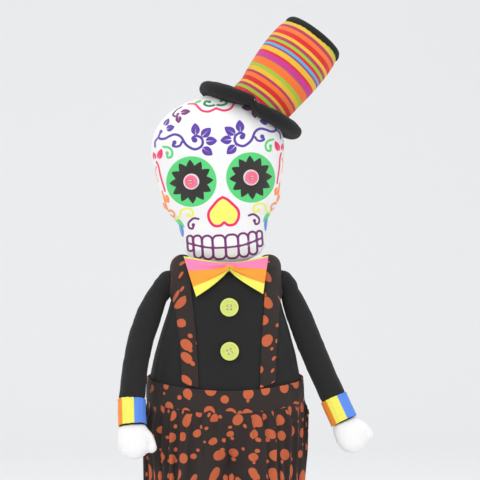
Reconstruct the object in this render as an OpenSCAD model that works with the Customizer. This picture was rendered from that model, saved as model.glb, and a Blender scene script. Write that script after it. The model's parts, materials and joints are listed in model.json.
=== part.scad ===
// Standing sugar-skull doll of sewn and stuffed cloth: a skull head with a tilted top hat,
// bow tie, braces, gathered trousers and boots. It stands on two flat soles and faces -Y.

/* [Cloth] */
// Thickness of the sewn cloth covers
cloth = 1.2; // [0.8:0.1:1.8]
// Air between pieces that touch in use
gap = 0.3; // [0.2:0.05:0.5]

/* [Boots and legs] */
// Distance between the centres of the two feet
foot_spacing = 104; // [96:1:116]
// Length of a boot
boot_length = 118; // [100:1:130]
// Width of a boot
boot_width = 60; // [54:1:68]
// Height of a boot's toe
toe_height = 44; // [36:1:52]
// Height of a boot's shaft, which the trouser hem hides
shaft_height = 96; // [88:1:104]
// Diameter of a boot's shaft
shaft_d = 44; // [42:1:46]
// Thickness of the boot soles
sole_t = 3; // [2:0.5:5]
// Diameter of the stuffed legs inside the trousers
leg_d = 36; // [30:1:38]
// Diameter of the wooden rods in the legs
rod_d = 8; // [6:1:10]
// How far the rods reach up into the body
rod_reach = 120; // [60:5:160]
// Height of the weight bag in each boot
weight_h = 12; // [8:1:16]

/* [Trousers] */
// Height of the crotch above the floor
crotch_z = 276; // [240:1:300]
// Width across the trousers at the hips
hip_w = 214; // [204:1:230]
// Depth of the trousers, front to back
hip_d = 144; // [136:1:156]
// Diameter of the gathered hem
hem_d = 56; // [54:1:62]
// Diameter of the hem's elastic cord
elastic_d = 1.6; // [1:0.1:2]

/* [Body] */
// Height of the top of the shoulders above the floor
shoulder_z = 522; // [500:1:560]
// Width across the shoulders
shoulder_w = 124; // [114:1:128]
// Width of the body at the waist
waist_w = 185; // [176:1:190]
// Depth of the body at the waist
waist_d = 122; // [112:1:128]
// Height of the waistband
band_h = 26; // [20:1:32]
// How far the waistband dips at the front
band_dip = 12; // [4:1:16]
// Thickness of the folded waistband and braces
band_t = 2; // [1.5:0.1:3]
// Width of the braces
brace_w = 19; // [14:1:24]
// Distance between the braces at the shoulders
brace_spread = 108; // [100:1:110]
// Distance between the braces at the front of the waistband
brace_waist = 90; // [70:1:110]

/* [Arms] */
// Diameter of an arm
arm_d = 31; // [26:1:32]
// Length of an arm from the shoulder to the end of the sleeve
arm_length = 150; // [125:1:156]
// Outward lean of the right arm at the shoulder
right_lean = 30; // [29:1:36]
// How far the right arm curves back towards the body
right_bend = -28; // [-29:1:-20]
// Outward lean of the left arm at the shoulder
left_lean = 19; // [18:1:30]
// How far the left arm curves away from the body
left_bend = 4; // [1:1:12]
// Forward swing of the right arm, whose hand lies in front of the trousers
right_forward = 17; // [16:1:24]
// Forward swing of the left arm
left_forward = 12; // [6:1:20]
// Diameter of the round patch of stitches at each shoulder
seam_d = 14; // [10:1:18]
// Length of the striped cuffs
cuff_length = 31; // [24:1:36]
// Length of a hand beyond its cuff
hand_length = 40; // [32:1:46]

/* [Head] */
// Height of the head from chin to crown
head_h = 204; // [190:1:216]
// Width of the head at the temples
head_w = 161; // [150:1:170]
// Depth of the head
head_d = 136; // [124:1:146]
// Sideways lean of the head at rest
head_lean = 4; // [0:0.5:6]
// Turn of the head at rest
head_turn = -3; // [-5:0.5:5]
// Diameter of the neck
neck_d = 36; // [30:1:40]
// Height of the neck
neck_h = 34; // [28:1:38]

/* [Hat] */
// Diameter of the brim
brim_d = 134; // [120:1:144]
// Thickness of the stuffed brim
brim_t = 17; // [13:1:20]
// Diameter of the crown where it leaves the brim
crown_base_d = 70; // [62:1:76]
// Diameter of the crown at its widest
crown_top_d = 81; // [74:1:88]
// Length of the striped crown
crown_length = 115; // [90:1:120]
// Lean of the brim over the left ear
hat_lean = 30; // [24:1:34]
// Further lean of the crown
crown_lean = 13; // [8:1:16]
// Lean of the whole hat to the back
hat_back = 9; // [4:1:12]

/* [Bow tie and buttons] */
// Height of the bow tie at its ends
tie_h = 46; // [38:1:50]
// Width of the bow tie
tie_w = 102; // [92:1:106]
// Diameter of the shirt buttons
shirt_button_d = 21.5; // [18:0.5:25]
// Drop from the shoulders to the upper shirt button
upper_button_drop = 55; // [48:1:62]
// Drop from the shoulders to the lower shirt button
lower_button_drop = 106; // [92:1:116]
// Diameter of the eye buttons
eye_button_d = 15; // [11:0.5:18]
// Thickness of the buttons
button_t = 2.6; // [2:0.1:4]
// Distance between the eyes
eye_spacing = 70; // [64:1:80]
// Height of the eyes above the chin
eye_z = 100; // [94:1:106]

/* [Hidden] */
RIGHT = -1;
LEFT = 1;
$fn = 48;
// The middle of the body lies this far from the middle of the bounding box
mid_x = -21.2;
SIDES = 24;
LIMB_SIDES = 16;
SQUARENESS = 2.2;
inner = cloth + 0.1;

// ---- Rings: [x, y, z, half width, half depth, lean about Y, tip about X] ----
function signed_power(v, p) = sign(v) * pow(abs(v), p);
function tipped(v, a) = [v.x, v.y * cos(a) - v.z * sin(a), v.y * sin(a) + v.z * cos(a)];
function leant(v, a) = [v.x * cos(a) + v.z * sin(a), v.y, v.z * cos(a) - v.x * sin(a)];
function ring(x, y, z, w, d, lean = 0, tip = 0) = [x, y, z, w, d, lean, tip];
function ring_points(r, sides) = [
    for (i = [0:sides - 1])
        let (t = 360 * i / sides, p = 2 / SQUARENESS,
            flat = [r[3] * signed_power(cos(t), p), r[4] * signed_power(sin(t), p), 0])
        [r[0], r[1], r[2]] + leant(tipped(flat, r[6]), r[5])
];

// The solid through a list of rings
module stack(rings, sides = SIDES) {
    for (i = [0:len(rings) - 2])
        hull() {
            polyhedron(concat(ring_points(rings[i], sides), ring_points(rings[i + 1], sides)),
                concat([[for (k = [0:sides - 1]) k], [for (k = [0:sides - 1]) 2 * sides - 1 - k]],
                    [for (k = [0:sides - 1]) let (n = (k + 1) % sides) [k, k + sides, n + sides, n]]));
        }
}

// A shape table has rows of [z, half width, half depth, y, tip]
function column(table, k) = [for (row = table) [row[0], row[k]]];
function ring_at(table, z, by = 0) =
    ring(0, lookup(z, column(table, 3)), z, max(lookup(z, column(table, 1)) - by, 0.5),
        max(lookup(z, column(table, 2)) - by, 0.5), 0, lookup(z, column(table, 4)));
// The table's rings, drawn smaller all round by `by`
function table_rings(table, by = 0) =
    let (low = table[0][0], high = table[len(table) - 1][0])
    [for (row = table)
        ring(0, row[3], min(max(row[0], low + by), high - by), max(row[1] - by, 0.5), max(row[2] - by, 0.5),
            0, row[4])];
function front_y(table, x, z) =
    let (a = lookup(z, column(table, 1)), b = lookup(z, column(table, 2)), y = lookup(z, column(table, 3)),
        share = min(abs(x) / a, 0.985))
    y - b * pow(1 - pow(share, SQUARENESS), 1 / SQUARENESS);
// Outward normal of a table's front surface
function front_normal(table, x, z) =
    let (d = 3, n = [(front_y(table, x + d, z) - front_y(table, x - d, z)) / (2 * d), -1,
            (front_y(table, x, z + d) - front_y(table, x, z - d)) / (2 * d)])
    n / norm(n);

// Centre line of a limb that leaves its joint at `lean` and curves by `bend` along its length
function arc_ring(lean, bend, length, s, w, d) =
    let (k = bend / length, r = 180 / (PI * k), a = lean + k * s)
    ring(r * (cos(lean) - cos(a)), 0, r * (sin(a) - sin(lean)), w, d, a);

module placed() translate([mid_x, 0, 0]) children();
module mirrored(side) {
    if (side < 0) mirror([1, 0, 0]) children();
    else children();
}
// Turns +Z to point along n
module facing(n) rotate([0, acos(n.z), atan2(n.y, n.x)]) children();

// ---- Body ----
half_shoulder = shoulder_w / 2;
half_waist = waist_w / 2;
body_d = waist_d / 2;
waist_top = shoulder_z - 140;
waist_bottom = waist_top - band_h;
body_bottom = waist_bottom - 68;
arm_top_r = arm_d * 0.27;
seam_t = 1.5;
pivot_z = shoulder_z - 26;
pivot_x = half_shoulder + seam_t + arm_top_r + 2 * gap;
BODY = [
    [body_bottom, half_waist * 0.55, body_d * 0.5, 0, 0],
    [body_bottom + 14, half_waist * 0.84, body_d * 0.78, 0, 0],
    [body_bottom + 36, half_waist * 0.97, body_d * 0.94, 0, 0],
    [waist_bottom, half_waist, body_d, 0, 0],
    [waist_top, half_waist * 0.985, body_d * 0.99, 0, 0],
    [shoulder_z - 112, half_waist * 0.92, body_d * 0.96, 0, 0],
    [shoulder_z - 84, half_waist * 0.83, body_d * 0.92, 0, 0],
    [shoulder_z - 62, half_shoulder * 1.12, body_d * 0.89, 0, 0],
    [shoulder_z - 33, half_shoulder, body_d * 0.82, 0, 0],
    [shoulder_z - 12, half_shoulder, body_d * 0.66, 0, 0],
    [shoulder_z - 6, half_shoulder * 0.99, body_d * 0.42, 0, 0],
    [shoulder_z, half_shoulder * 0.96, body_d * 0.15, 0, 0]
];

module body_shape(by = 0) stack(table_rings(BODY, by));
module rod_holes() {
    for (side = [RIGHT, LEFT])
        translate([side * foot_spacing / 2, 0, 0])
            cylinder(d = rod_d + 2 * gap, h = body_bottom + rod_reach + gap, $fn = 16);
}
module torso_cover() color([0.14, 0.14, 0.14]) placed() difference() {
    body_shape();
    body_shape(cloth);
    rod_holes();
}
module torso_filling() color("white") placed() difference() {
    body_shape(inner);
    rod_holes();
}

// ---- Waistband and braces ----
band_tip = asin(band_dip / body_d);
function hug_ring(z, by) =
    let (r = ring_at(BODY, z, -by - gap))
    ring(0, 0, z, r[3], r[4] / cos(band_tip), 0, band_tip);
module waistband() color([0.26, 0.2, 0.19]) placed() difference() {
    stack([for (i = [0:3]) hug_ring(waist_bottom + band_h * i / 3, gap + band_t)]);
    stack([for (i = [-1:4]) hug_ring(waist_bottom + band_h * i / 3, gap)]);
}

// A brace has a point at each level of the body's table, up the front and then down the back
BRACE_LEVELS = [for (row = BODY) if (row[0] > waist_top + 1.2 * band_dip) row[0]];
brace_count = len(BRACE_LEVELS) + 1;
brace_lift = 9 * gap;
function brace_z(i) =
    let (k = min(i, 2 * brace_count - 1 - i), end = waist_top + (i == 0 ? -0.87 : 0.87) * band_dip + 1.2)
    k == 0 ? end : BRACE_LEVELS[k - 1];
function brace_x(i) =
    let (share = (brace_z(i) - waist_top + band_dip) / (shoulder_z - waist_top + band_dip))
    (brace_waist + (brace_spread - brace_waist) * share) / 2;
function slice_point(x, i) = [(i < brace_count ? 1 : -1) * front_y(BODY, x, brace_z(i)), brace_z(i)];
function slice_normal(x, i) =
    let (v = slice_point(x, min(i + 1, 2 * brace_count - 1)) - slice_point(x, max(i - 1, 0)))
    [-v[1], v[0]] / norm(v);
function brace_point(i, across, lift) =
    let (x = brace_x(i) + across * brace_w, p = slice_point(x, i) + lift * slice_normal(x, i))
    [x, p[0], p[1]];
module brace(side) color([0.26, 0.2, 0.19]) placed() mirrored(side)
    for (i = [0:2 * brace_count - 2])
        for (across = [-0.5, -0.25, 0, 0.25])
            hull() polyhedron(
                [for (end = [i, i + 1])
                    for (corner = [[0, 0], [0.25, 0], [0.25, band_t], [0, band_t]])
                        brace_point(end, across + corner[0], brace_lift + corner[1])],
                [[0, 1, 2, 3], [7, 6, 5, 4], [0, 4, 5, 1], [1, 5, 6, 2], [2, 6, 7, 3], [3, 7, 4, 0]]);

// ---- Buttons ----
hole_r = 1.1;
thread_r = 0.45;
dish = 0.65;
hole_place = 0.14;
module button(d, turn) rotate([0, 0, turn + 45]) difference() {
    cylinder(d = d, h = button_t);
    translate([0, 0, button_t * dish]) cylinder(d = d * 0.72, h = button_t);
    for (a = [0:90:270])
        rotate([0, 0, a]) translate([d * hole_place, 0, -1]) cylinder(r = hole_r, h = button_t + 2, $fn = 20);
}
// Two parallel stitches through the four holes
module stitches(d, turn) rotate([0, 0, turn]) {
    reach = d * hole_place * sqrt(2) / 2;
    top = button_t * dish + gap + thread_r;
    for (y = [-reach, reach]) {
        for (x = [-reach, reach])
            translate([x, y, -gap / 2]) cylinder(r = thread_r, h = top + gap / 2, $fn = 16);
        translate([-reach - thread_r, y, top]) rotate([0, 90, 0])
            cylinder(r = thread_r, h = 2 * (reach + thread_r), $fn = 16);
    }
}
module on_front(table, x, z) {
    n = front_normal(table, x, z);
    translate(gap * n + [x, front_y(table, x, z), z]) facing(n) rotate([0, 0, 90]) children();
}
lower_turn = 25;
module shirt_button(drop, turn) color([0.85, 0.88, 0.5]) placed()
    on_front(BODY, 0, shoulder_z - drop) button(shirt_button_d, turn);
module shirt_button_threads() color("ivory") placed() {
    on_front(BODY, 0, shoulder_z - upper_button_drop) stitches(shirt_button_d, 0);
    on_front(BODY, 0, shoulder_z - lower_button_drop) stitches(shirt_button_d, lower_turn);
}

// ---- Bow tie: each wing is a row of upright rings, [x, top, bottom, half thickness] ----
tie_top = shoulder_z - 2;
pinch_r = 4.5;
TIE = [
    [0, tie_top - 1, tie_top - 1 - 2 * pinch_r, pinch_r],
    [tie_w * 0.1, tie_top, tie_top - tie_h * 0.3, 5.5],
    [tie_w * 0.25, tie_top + 2, tie_top - tie_h * 0.62, 7],
    [tie_w * 0.38, tie_top + 4, tie_top - tie_h * 0.84, 7.5],
    [tie_w * 0.47, tie_top + 6, tie_top - tie_h * 0.86, 6],
    [tie_w * 0.5, tie_top + 4, tie_top - tie_h * 0.78, 4]
];
// The tie lies over the braces, and its pinch stands clear of the shirt by the thread
function tie_lift(x) =
    let (share = min(x / (tie_w * 0.38), 1))
    gap + (1 - share) * (3.2 + 2 * thread_r) + share * (brace_lift + band_t + gap);
function tie_y(row) = front_y(BODY, row[0], row[2] * 0.8 + row[1] * 0.2) - row[3] - tie_lift(row[0]);
function tie_ring(row) =
    ring(row[0], tie_y(row), (row[1] + row[2]) / 2, (row[1] - row[2]) / 2, row[3], 90);
module bow_tie() color([0.98, 0.65, 0.4]) placed()
    for (side = [RIGHT, LEFT]) mirrored(side) stack([for (row = TIE) tie_ring(row)], LIMB_SIDES);
module bow_tie_thread() color("ivory") placed()
    translate([0, tie_y(TIE[0]), tie_top - 1 - pinch_r]) rotate([0, 90, 0])
        rotate_extrude($fn = 24) translate([pinch_r * 1.13 + gap + thread_r, 0])
            circle(r = thread_r, $fn = 16);

// ---- Trousers ----
half_hip = hip_w / 2;
hip_b = hip_d / 2;
seat_z = crotch_z + 24;
hem_z = shaft_height - 4;
hem_r = shaft_d / 2 + gap + cloth;
ruffle_h = 12;
function pelvis_rings(by) = [
    hug_ring(waist_bottom - gap, gap + band_t - by),
    hug_ring(waist_bottom - 8, gap + band_t + 2.5 - by),
    ring(0, 0, waist_bottom - 24, half_hip * 0.955 - by, hip_b * 0.96 - by, 0, band_tip * 0.6),
    ring(0, 0, (waist_bottom + seat_z) / 2, half_hip * 0.99 - by, hip_b - by, 0, band_tip * 0.2),
    ring(0, 0, seat_z, half_hip - by, hip_b - by),
    ring(0, 0, crotch_z + by, half_hip * 0.985 - by, hip_b * 0.97 - by)
];
// Rows of [share of the height from hem to seat, half width, half depth] for one trouser leg
LEG = [
    [1, half_hip * 0.497, hip_b * 0.95],
    [0.78, half_hip * 0.475, hip_b * 0.86],
    [0.5, half_hip * 0.425, hip_b * 0.72],
    [0.25, half_hip * 0.36, hip_b * 0.58],
    [0.1, half_hip * 0.3, hip_b * 0.46],
    [0, hem_r, hem_r]
];
function leg_x(share) = foot_spacing / 2 + (half_hip / 2 - foot_spacing / 2) * share;
function leg_rings(by) = concat(
    [for (row = LEG) ring(leg_x(row[0]), 0, hem_z + (seat_z - hem_z) * row[0], row[1] - by, row[2] - by)],
    [ring(foot_spacing / 2, 0, hem_z - ruffle_h * 0.3, hem_r + 1.5 - by, hem_r + 1.5 - by),
        ring(foot_spacing / 2, 0, hem_z - ruffle_h - by, hem_d / 2 - by, hem_d / 2 - by)]
);
module trousers_shape(by) {
    stack(pelvis_rings(by));
    for (side = [RIGHT, LEFT]) mirrored(side) stack(leg_rings(by), 20);
}
module trousers() color([0.24, 0.19, 0.17]) placed() difference() {
    trousers_shape(0);
    trousers_shape(cloth);
    stack([for (z = [-8, 8]) hug_ring(waist_bottom + z, gap + band_t - cloth)]);
}
module hem_elastic(side) color("black") placed()
    translate([side * foot_spacing / 2, 0, hem_z]) rotate_extrude($fn = 24)
        translate([hem_r + elastic_d / 2 + 0.9, 0]) circle(d = elastic_d, $fn = 16);

// ---- Legs and boots ----
leg_low = shaft_height + 2 * gap;
leg_high = body_bottom - gap;
leg_r = leg_d / 2;
function leg_tube(by) = [for (z = [leg_low + by, leg_high - by]) ring(0, 0, z, leg_r - by, leg_r - by)];
module rod_hole() cylinder(d = rod_d + 2 * gap, h = shoulder_z, $fn = 16);
module at_foot(side) translate([mid_x + side * foot_spacing / 2, 0, 0]) children();
module leg_cover(side) color("white") at_foot(side) difference() {
    stack(leg_tube(0), 20);
    stack(leg_tube(cloth), 20);
    rod_hole();
}
module leg_filling(side) color("white") at_foot(side) difference() {
    stack(leg_tube(inner), 20);
    rod_hole();
}
boot_low = sole_t + gap;
felt = 2;
weight_low = boot_low + felt + gap;
weight_top = weight_low + weight_h;
heel_y = boot_length * 0.37;
half_boot = boot_width / 2;
BOOT = [
    [boot_low, half_boot * 0.9, boot_length * 0.475, heel_y - boot_length / 2, 0],
    [boot_low + 6, half_boot, boot_length * 0.5, heel_y - boot_length / 2, 0],
    [toe_height * 0.55, half_boot * 0.98, boot_length * 0.485, heel_y - boot_length / 2, 0],
    [toe_height * 0.82, half_boot * 0.92, boot_length * 0.41, heel_y - boot_length * 0.44, 0],
    [toe_height, half_boot * 0.84, boot_length * 0.31, heel_y - boot_length * 0.37, 0],
    [toe_height + 10, max(half_boot * 0.77, shaft_d / 2), shaft_d * 0.62, shaft_d * 0.05, 0],
    [toe_height + 22, shaft_d / 2, shaft_d / 2, 0, 0],
    [shaft_height, shaft_d / 2, shaft_d / 2, 0, 0]
];
module boot_upper(side) color([0.12, 0.12, 0.12]) at_foot(side) difference() {
    stack(table_rings(BOOT));
    stack(table_rings(BOOT, felt));
    translate([0, 0, toe_height]) rod_hole();
}
module boot_filling(side) color("white") at_foot(side) difference() {
    stack([for (z = [weight_top + gap, toe_height * 0.55, toe_height * 0.82, toe_height, toe_height + 10,
            toe_height + 22, shaft_height - felt - gap]) ring_at(BOOT, z, felt + gap)]);
    rod_hole();
}
module boot_weight(side) color("tan") at_foot(side) difference() {
    stack([for (row = [[weight_low, 3], [weight_low + 6, 0], [weight_top, 0]])
        ring_at(BOOT, row[0], felt + gap + row[1])]);
    rod_hole();
}
sole_w = boot_width - 4;
sole_reach = boot_length - 4 - sole_w;
module boot_sole(side) color([0.2, 0.2, 0.2]) at_foot(side) linear_extrude(sole_t)
    translate([0, heel_y - 2 - sole_w / 2]) {
        circle(d = sole_w);
        translate([0, -sole_reach]) circle(d = sole_w);
        translate([-sole_w / 2, -sole_reach]) square([sole_w, sole_reach]);
    }
module leg_rod(side) color("burlywood") at_foot(side) translate([0, 0, weight_low])
    cylinder(d = rod_d, h = body_bottom + rod_reach - weight_low);

// ---- Arms, drawn hanging down from the shoulder joint ----
function side_lean(side) = side < 0 ? right_lean : left_lean;
function side_bend(side) = side < 0 ? right_bend : left_bend;
function side_forward(side) = side < 0 ? right_forward : left_forward;
function limb_ring(side, s, w, d) = arc_ring(side_lean(side), side_bend(side), arm_length, s, w, d);
arm_r = arm_d / 2;
cuff_end = arm_length + cuff_length;
module in_arm(side) placed() mirrored(side) translate([pivot_x, 0, pivot_z])
    rotate([-side_forward(side), 0, 0]) mirror([0, 0, 1]) children();
function arm_rings(side, end, by) = concat(
    [for (t = [10, 32, 60])
        let (r = arm_top_r - by)
        limb_ring(side, -r * cos(t), r * sin(t), r * sin(t))],
    [for (s = [0, 0.1, 0.2, 0.3, 0.5, 0.75, 1])
        let (r = arm_top_r + (arm_r - arm_top_r) * min(sqrt(s * 3.3), 1) - by)
        limb_ring(side, s * end, r, r)]
);
module sleeve(side) color([0.14, 0.14, 0.14]) in_arm(side) difference() {
    stack(arm_rings(side, arm_length, 0), LIMB_SIDES);
    stack(arm_rings(side, arm_length + 1, cloth), LIMB_SIDES);
}
module arm_filling(side) color("white") in_arm(side) {
    stack(arm_rings(side, arm_length, inner), LIMB_SIDES);
    stack([limb_ring(side, arm_length, arm_r - inner, arm_r - inner),
        limb_ring(side, cuff_end - gap, cuff_r - inner, cuff_r - inner - 1)], LIMB_SIDES);
}
cuff_r = arm_r + 1.2;
module cuff(side) color([0.9, 0.85, 0.4]) in_arm(side) difference() {
    stack([for (s = [arm_length + gap, (arm_length + cuff_end) / 2, cuff_end])
        limb_ring(side, s, cuff_r, cuff_r - 1)], LIMB_SIDES);
    stack([for (s = [arm_length - 1, (arm_length + cuff_end) / 2, cuff_end + 1])
        limb_ring(side, s, cuff_r - cloth, cuff_r - cloth - 1)], LIMB_SIDES);
}
// The thumb of the right hand is next to the body, and that of the left hand is on the outside
function thumb_way(side) = side;
hand_start = cuff_end + gap;
function hand_s(share) = hand_start + hand_length * share;
hand_w = arm_r * 1.28;
hand_t = arm_r * 0.82;
// Rows of [share of the length, share of the width, share of the thickness]
HAND = [
    [0, 0.78, 0.86], [0.22, 0.94, 1], [0.5, 1, 1], [0.78, 0.84, 0.86], [0.94, 0.48, 0.5], [1, 0.15, 0.16]
];
function hand_rings(side, by, low) = [
    for (row = HAND)
        let (s = min(hand_s(row[0]) + low * (1 - sign(row[0])), hand_s(1) - by))
        limb_ring(side, s, hand_w * row[1] - by, hand_t * row[2] - by)
];
// Rows of [distance out as a share of the hand's width, distance along as a share of its length, radius]
THUMB = [[0.42, -0.1, 6], [0.8, 0, 8.2], [1.08, 0.16, 7.6], [1.24, 0.3, 4.5], [1.27, 0.36, 1.8]];
module hand_shape(side, by, low = 0) {
    stack(hand_rings(side, by, low), LIMB_SIDES);
    base = limb_ring(side, hand_s(0.3), 0, 0);
    translate([base[0], 0, base[2]]) rotate([0, base[5], 0]) scale([thumb_way(side), 1, 1])
        stack([for (row = THUMB)
            ring((hand_w - by) * row[0], 0, hand_length * row[1], row[2] - by, row[2] - by, 90)],
            LIMB_SIDES);
}
module hand_cover(side) color("white") in_arm(side) difference() {
    hand_shape(side, 0);
    hand_shape(side, cloth, -1);
}
module hand_filling(side) color("white") in_arm(side) hand_shape(side, inner, gap);
module shoulder_seam(side) color([0.1, 0.1, 0.1]) placed() mirrored(side)
    translate([half_shoulder + gap, 0, pivot_z]) rotate([0, 90, 0]) cylinder(d = seam_d, h = seam_t);

// ---- Head, drawn from the chin up ----
chin_drop = 5;
module head_frame() translate([mid_x, 0, shoulder_z]) rotate([0, -head_lean, 0]) rotate([0, 0, head_turn])
    translate([0, 0, -chin_drop]) children();
// Rows of [share of the height, share of the width, share of the depth, y as a share of the depth]
SKULL = [
    [0.003, 0.175, 0.08, -0.215], [0.0245, 0.375, 0.12, -0.228], [0.05, 0.52, 0.28, -0.17],
    [0.108, 0.615, 0.475, -0.118], [0.2, 0.645, 0.6, -0.09], [0.255, 0.67, 0.66, -0.07],
    [0.3, 0.76, 0.75, -0.05], [0.345, 0.855, 0.84, -0.03], [0.4, 0.895, 0.89, -0.015],
    [0.49, 0.92, 0.93, -0.01], [0.585, 0.965, 0.97, 0], [0.67, 1, 1, 0], [0.745, 0.98, 0.985, 0],
    [0.81, 0.92, 0.93, 0], [0.868, 0.81, 0.83, 0], [0.917, 0.66, 0.69, 0], [0.961, 0.43, 0.46, 0],
    [0.99, 0.18, 0.19, 0], [1, 0.05, 0.05, 0]
];
HEAD = [for (row = SKULL)
    [row[0] * head_h, row[1] * head_w / 2, row[2] * head_d / 2, row[3] * head_d, 0]];
module skull(by) stack(table_rings(HEAD, by));
neck_r = neck_d / 2;
module neck_socket(by) translate([0, 0, -chin_drop]) rotate([0, 0, 4])
    cylinder(r = neck_r + by, h = neck_h + 2 * chin_drop + by, $fn = 32);
module head_cover() color("white") head_frame() difference() {
    skull(0);
    skull(cloth);
    neck_socket(4 * gap);
}
module head_filling() color("white") head_frame() difference() {
    skull(inner);
    neck_socket(4 * gap + cloth);
}
module on_face(side) on_front(HEAD, side * eye_spacing / 2, eye_z) children();
module eye_button(side) color([0.98, 0.5, 0.65]) head_frame() on_face(side) button(eye_button_d, 0);
module eye_button_threads() color("ivory") head_frame()
    for (side = [RIGHT, LEFT]) on_face(side) stitches(eye_button_d, 0);

// ---- Neck ----
function neck_rings(by, top = neck_h) = [
    ring(0, 0, 4 * gap + by, 5, 4), ring(0, 0, 5.5 + by, neck_r + 1 - by, 11 - by),
    ring(0, 0, 10, neck_r - by, neck_r * 0.9 - by), ring(0, 0, neck_h - 4, neck_r - by, neck_r - by),
    ring(0, 0, top, neck_r * 0.9 - by, neck_r * 0.9 - by)
];
module in_neck() translate([mid_x, 0, shoulder_z]) rotate([0, -head_lean, 0]) children();
module neck_cover() color("white") in_neck() difference() {
    stack(neck_rings(0));
    stack(neck_rings(cloth, neck_h + 1));
}
module neck_filling() color("white") in_neck() stack(neck_rings(inner, neck_h - gap));

// ---- Hat ----
brim_w = (brim_d - crown_base_d) / 2;
hat_x = head_w * 0.26;
hat_z = head_h * 0.895;
hat_y = 2;
module in_hat() translate([hat_x, hat_y, hat_z]) rotate([-hat_back, 0, 0])
    rotate([0, hat_lean, 0]) children();
module brim_ring(by) in_hat() rotate_extrude($fn = 36) translate([(brim_d - brim_w) / 2, 0])
    scale([brim_w / 2 - by, brim_t / 2 - by]) circle(r = 1, $fn = 14);
// Rows of [share of the crown's height, diameter]
CROWN = [
    [0, crown_base_d], [0.3, crown_base_d * 1.03], [0.65, crown_top_d], [0.9, crown_top_d],
    [1, crown_top_d * 0.97]
];
function crown_rings(by, low, high) = [
    for (row = CROWN) ring(0, 0, low + (high - low) * row[0], row[1] / 2 - by, row[1] / 2 - by)
];
module in_crown() in_hat() translate([4, 0, 0]) rotate([0, crown_lean, 0]) children();
module crown_shape(by, low = -14, high = crown_length) in_crown() stack(crown_rings(by, low, high));
module hat_brim() color([0.13, 0.13, 0.13]) head_frame() difference() {
    brim_ring(0);
    difference() {
        brim_ring(cloth);
        skull(-gap - cloth);
        crown_shape(-gap - cloth);
    }
    skull(-gap);
    crown_shape(-gap);
}
module hat_brim_filling() color("white") head_frame() difference() {
    brim_ring(inner);
    skull(-gap - inner);
    crown_shape(-gap - inner);
}
module hat_crown() color([0.9, 0.4, 0.4]) head_frame() difference() {
    crown_shape(0);
    crown_shape(cloth, -18, crown_length + 2);
    skull(-gap);
}
module hat_filling() color("white") head_frame() difference() {
    crown_shape(inner);
    skull(-gap);
}
top_puff = 9;
module hat_top() color([0.12, 0.12, 0.12]) head_frame() in_crown()
    stack([for (row = [[0, 0.97], [0.3, 0.96], [0.7, 0.74], [1, 0.25]])
        let (r = crown_top_d / 2 * row[1])
        ring(0, 0, crown_length + gap + top_puff * row[0], r, r)]);

head_cover();
head_filling();
eye_button(RIGHT);  // eye_button_right
eye_button(LEFT);  // eye_button_left
eye_button_threads();
hat_brim();
hat_brim_filling();
hat_crown();
hat_top();
hat_filling();
neck_cover();
neck_filling();
torso_cover();
torso_filling();
shirt_button(upper_button_drop, 0);  // shirt_button_upper
shirt_button(lower_button_drop, lower_turn);  // shirt_button_lower
shirt_button_threads();
bow_tie();
bow_tie_thread();
brace(RIGHT);  // brace_right
brace(LEFT);  // brace_left
waistband();
trousers();
hem_elastic(RIGHT);  // hem_elastic_right
hem_elastic(LEFT);  // hem_elastic_left
leg_cover(RIGHT);  // leg_cover_right
leg_cover(LEFT);  // leg_cover_left
leg_filling(RIGHT);  // leg_filling_right
leg_filling(LEFT);  // leg_filling_left
leg_rod(RIGHT);  // leg_rod_right
leg_rod(LEFT);  // leg_rod_left
boot_upper(RIGHT);  // boot_upper_right
boot_upper(LEFT);  // boot_upper_left
boot_filling(RIGHT);  // boot_filling_right
boot_filling(LEFT);  // boot_filling_left
boot_weight(RIGHT);  // boot_weight_right
boot_weight(LEFT);  // boot_weight_left
boot_sole(RIGHT);  // boot_sole_right
boot_sole(LEFT);  // boot_sole_left
shoulder_seam(RIGHT);  // shoulder_seam_right
shoulder_seam(LEFT);  // shoulder_seam_left
sleeve(RIGHT);  // sleeve_right
sleeve(LEFT);  // sleeve_left
arm_filling(RIGHT);  // arm_filling_right
arm_filling(LEFT);  // arm_filling_left
cuff(RIGHT);  // cuff_right
cuff(LEFT);  // cuff_left
hand_cover(RIGHT);  // hand_cover_right
hand_cover(LEFT);  // hand_cover_left
hand_filling(RIGHT);  // hand_filling_right
hand_filling(LEFT);  // hand_filling_left
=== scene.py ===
import json
import math

import bmesh
import bpy
import numpy as np
from mathutils import Matrix, Vector
from mathutils.bvhtree import BVHTree


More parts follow.
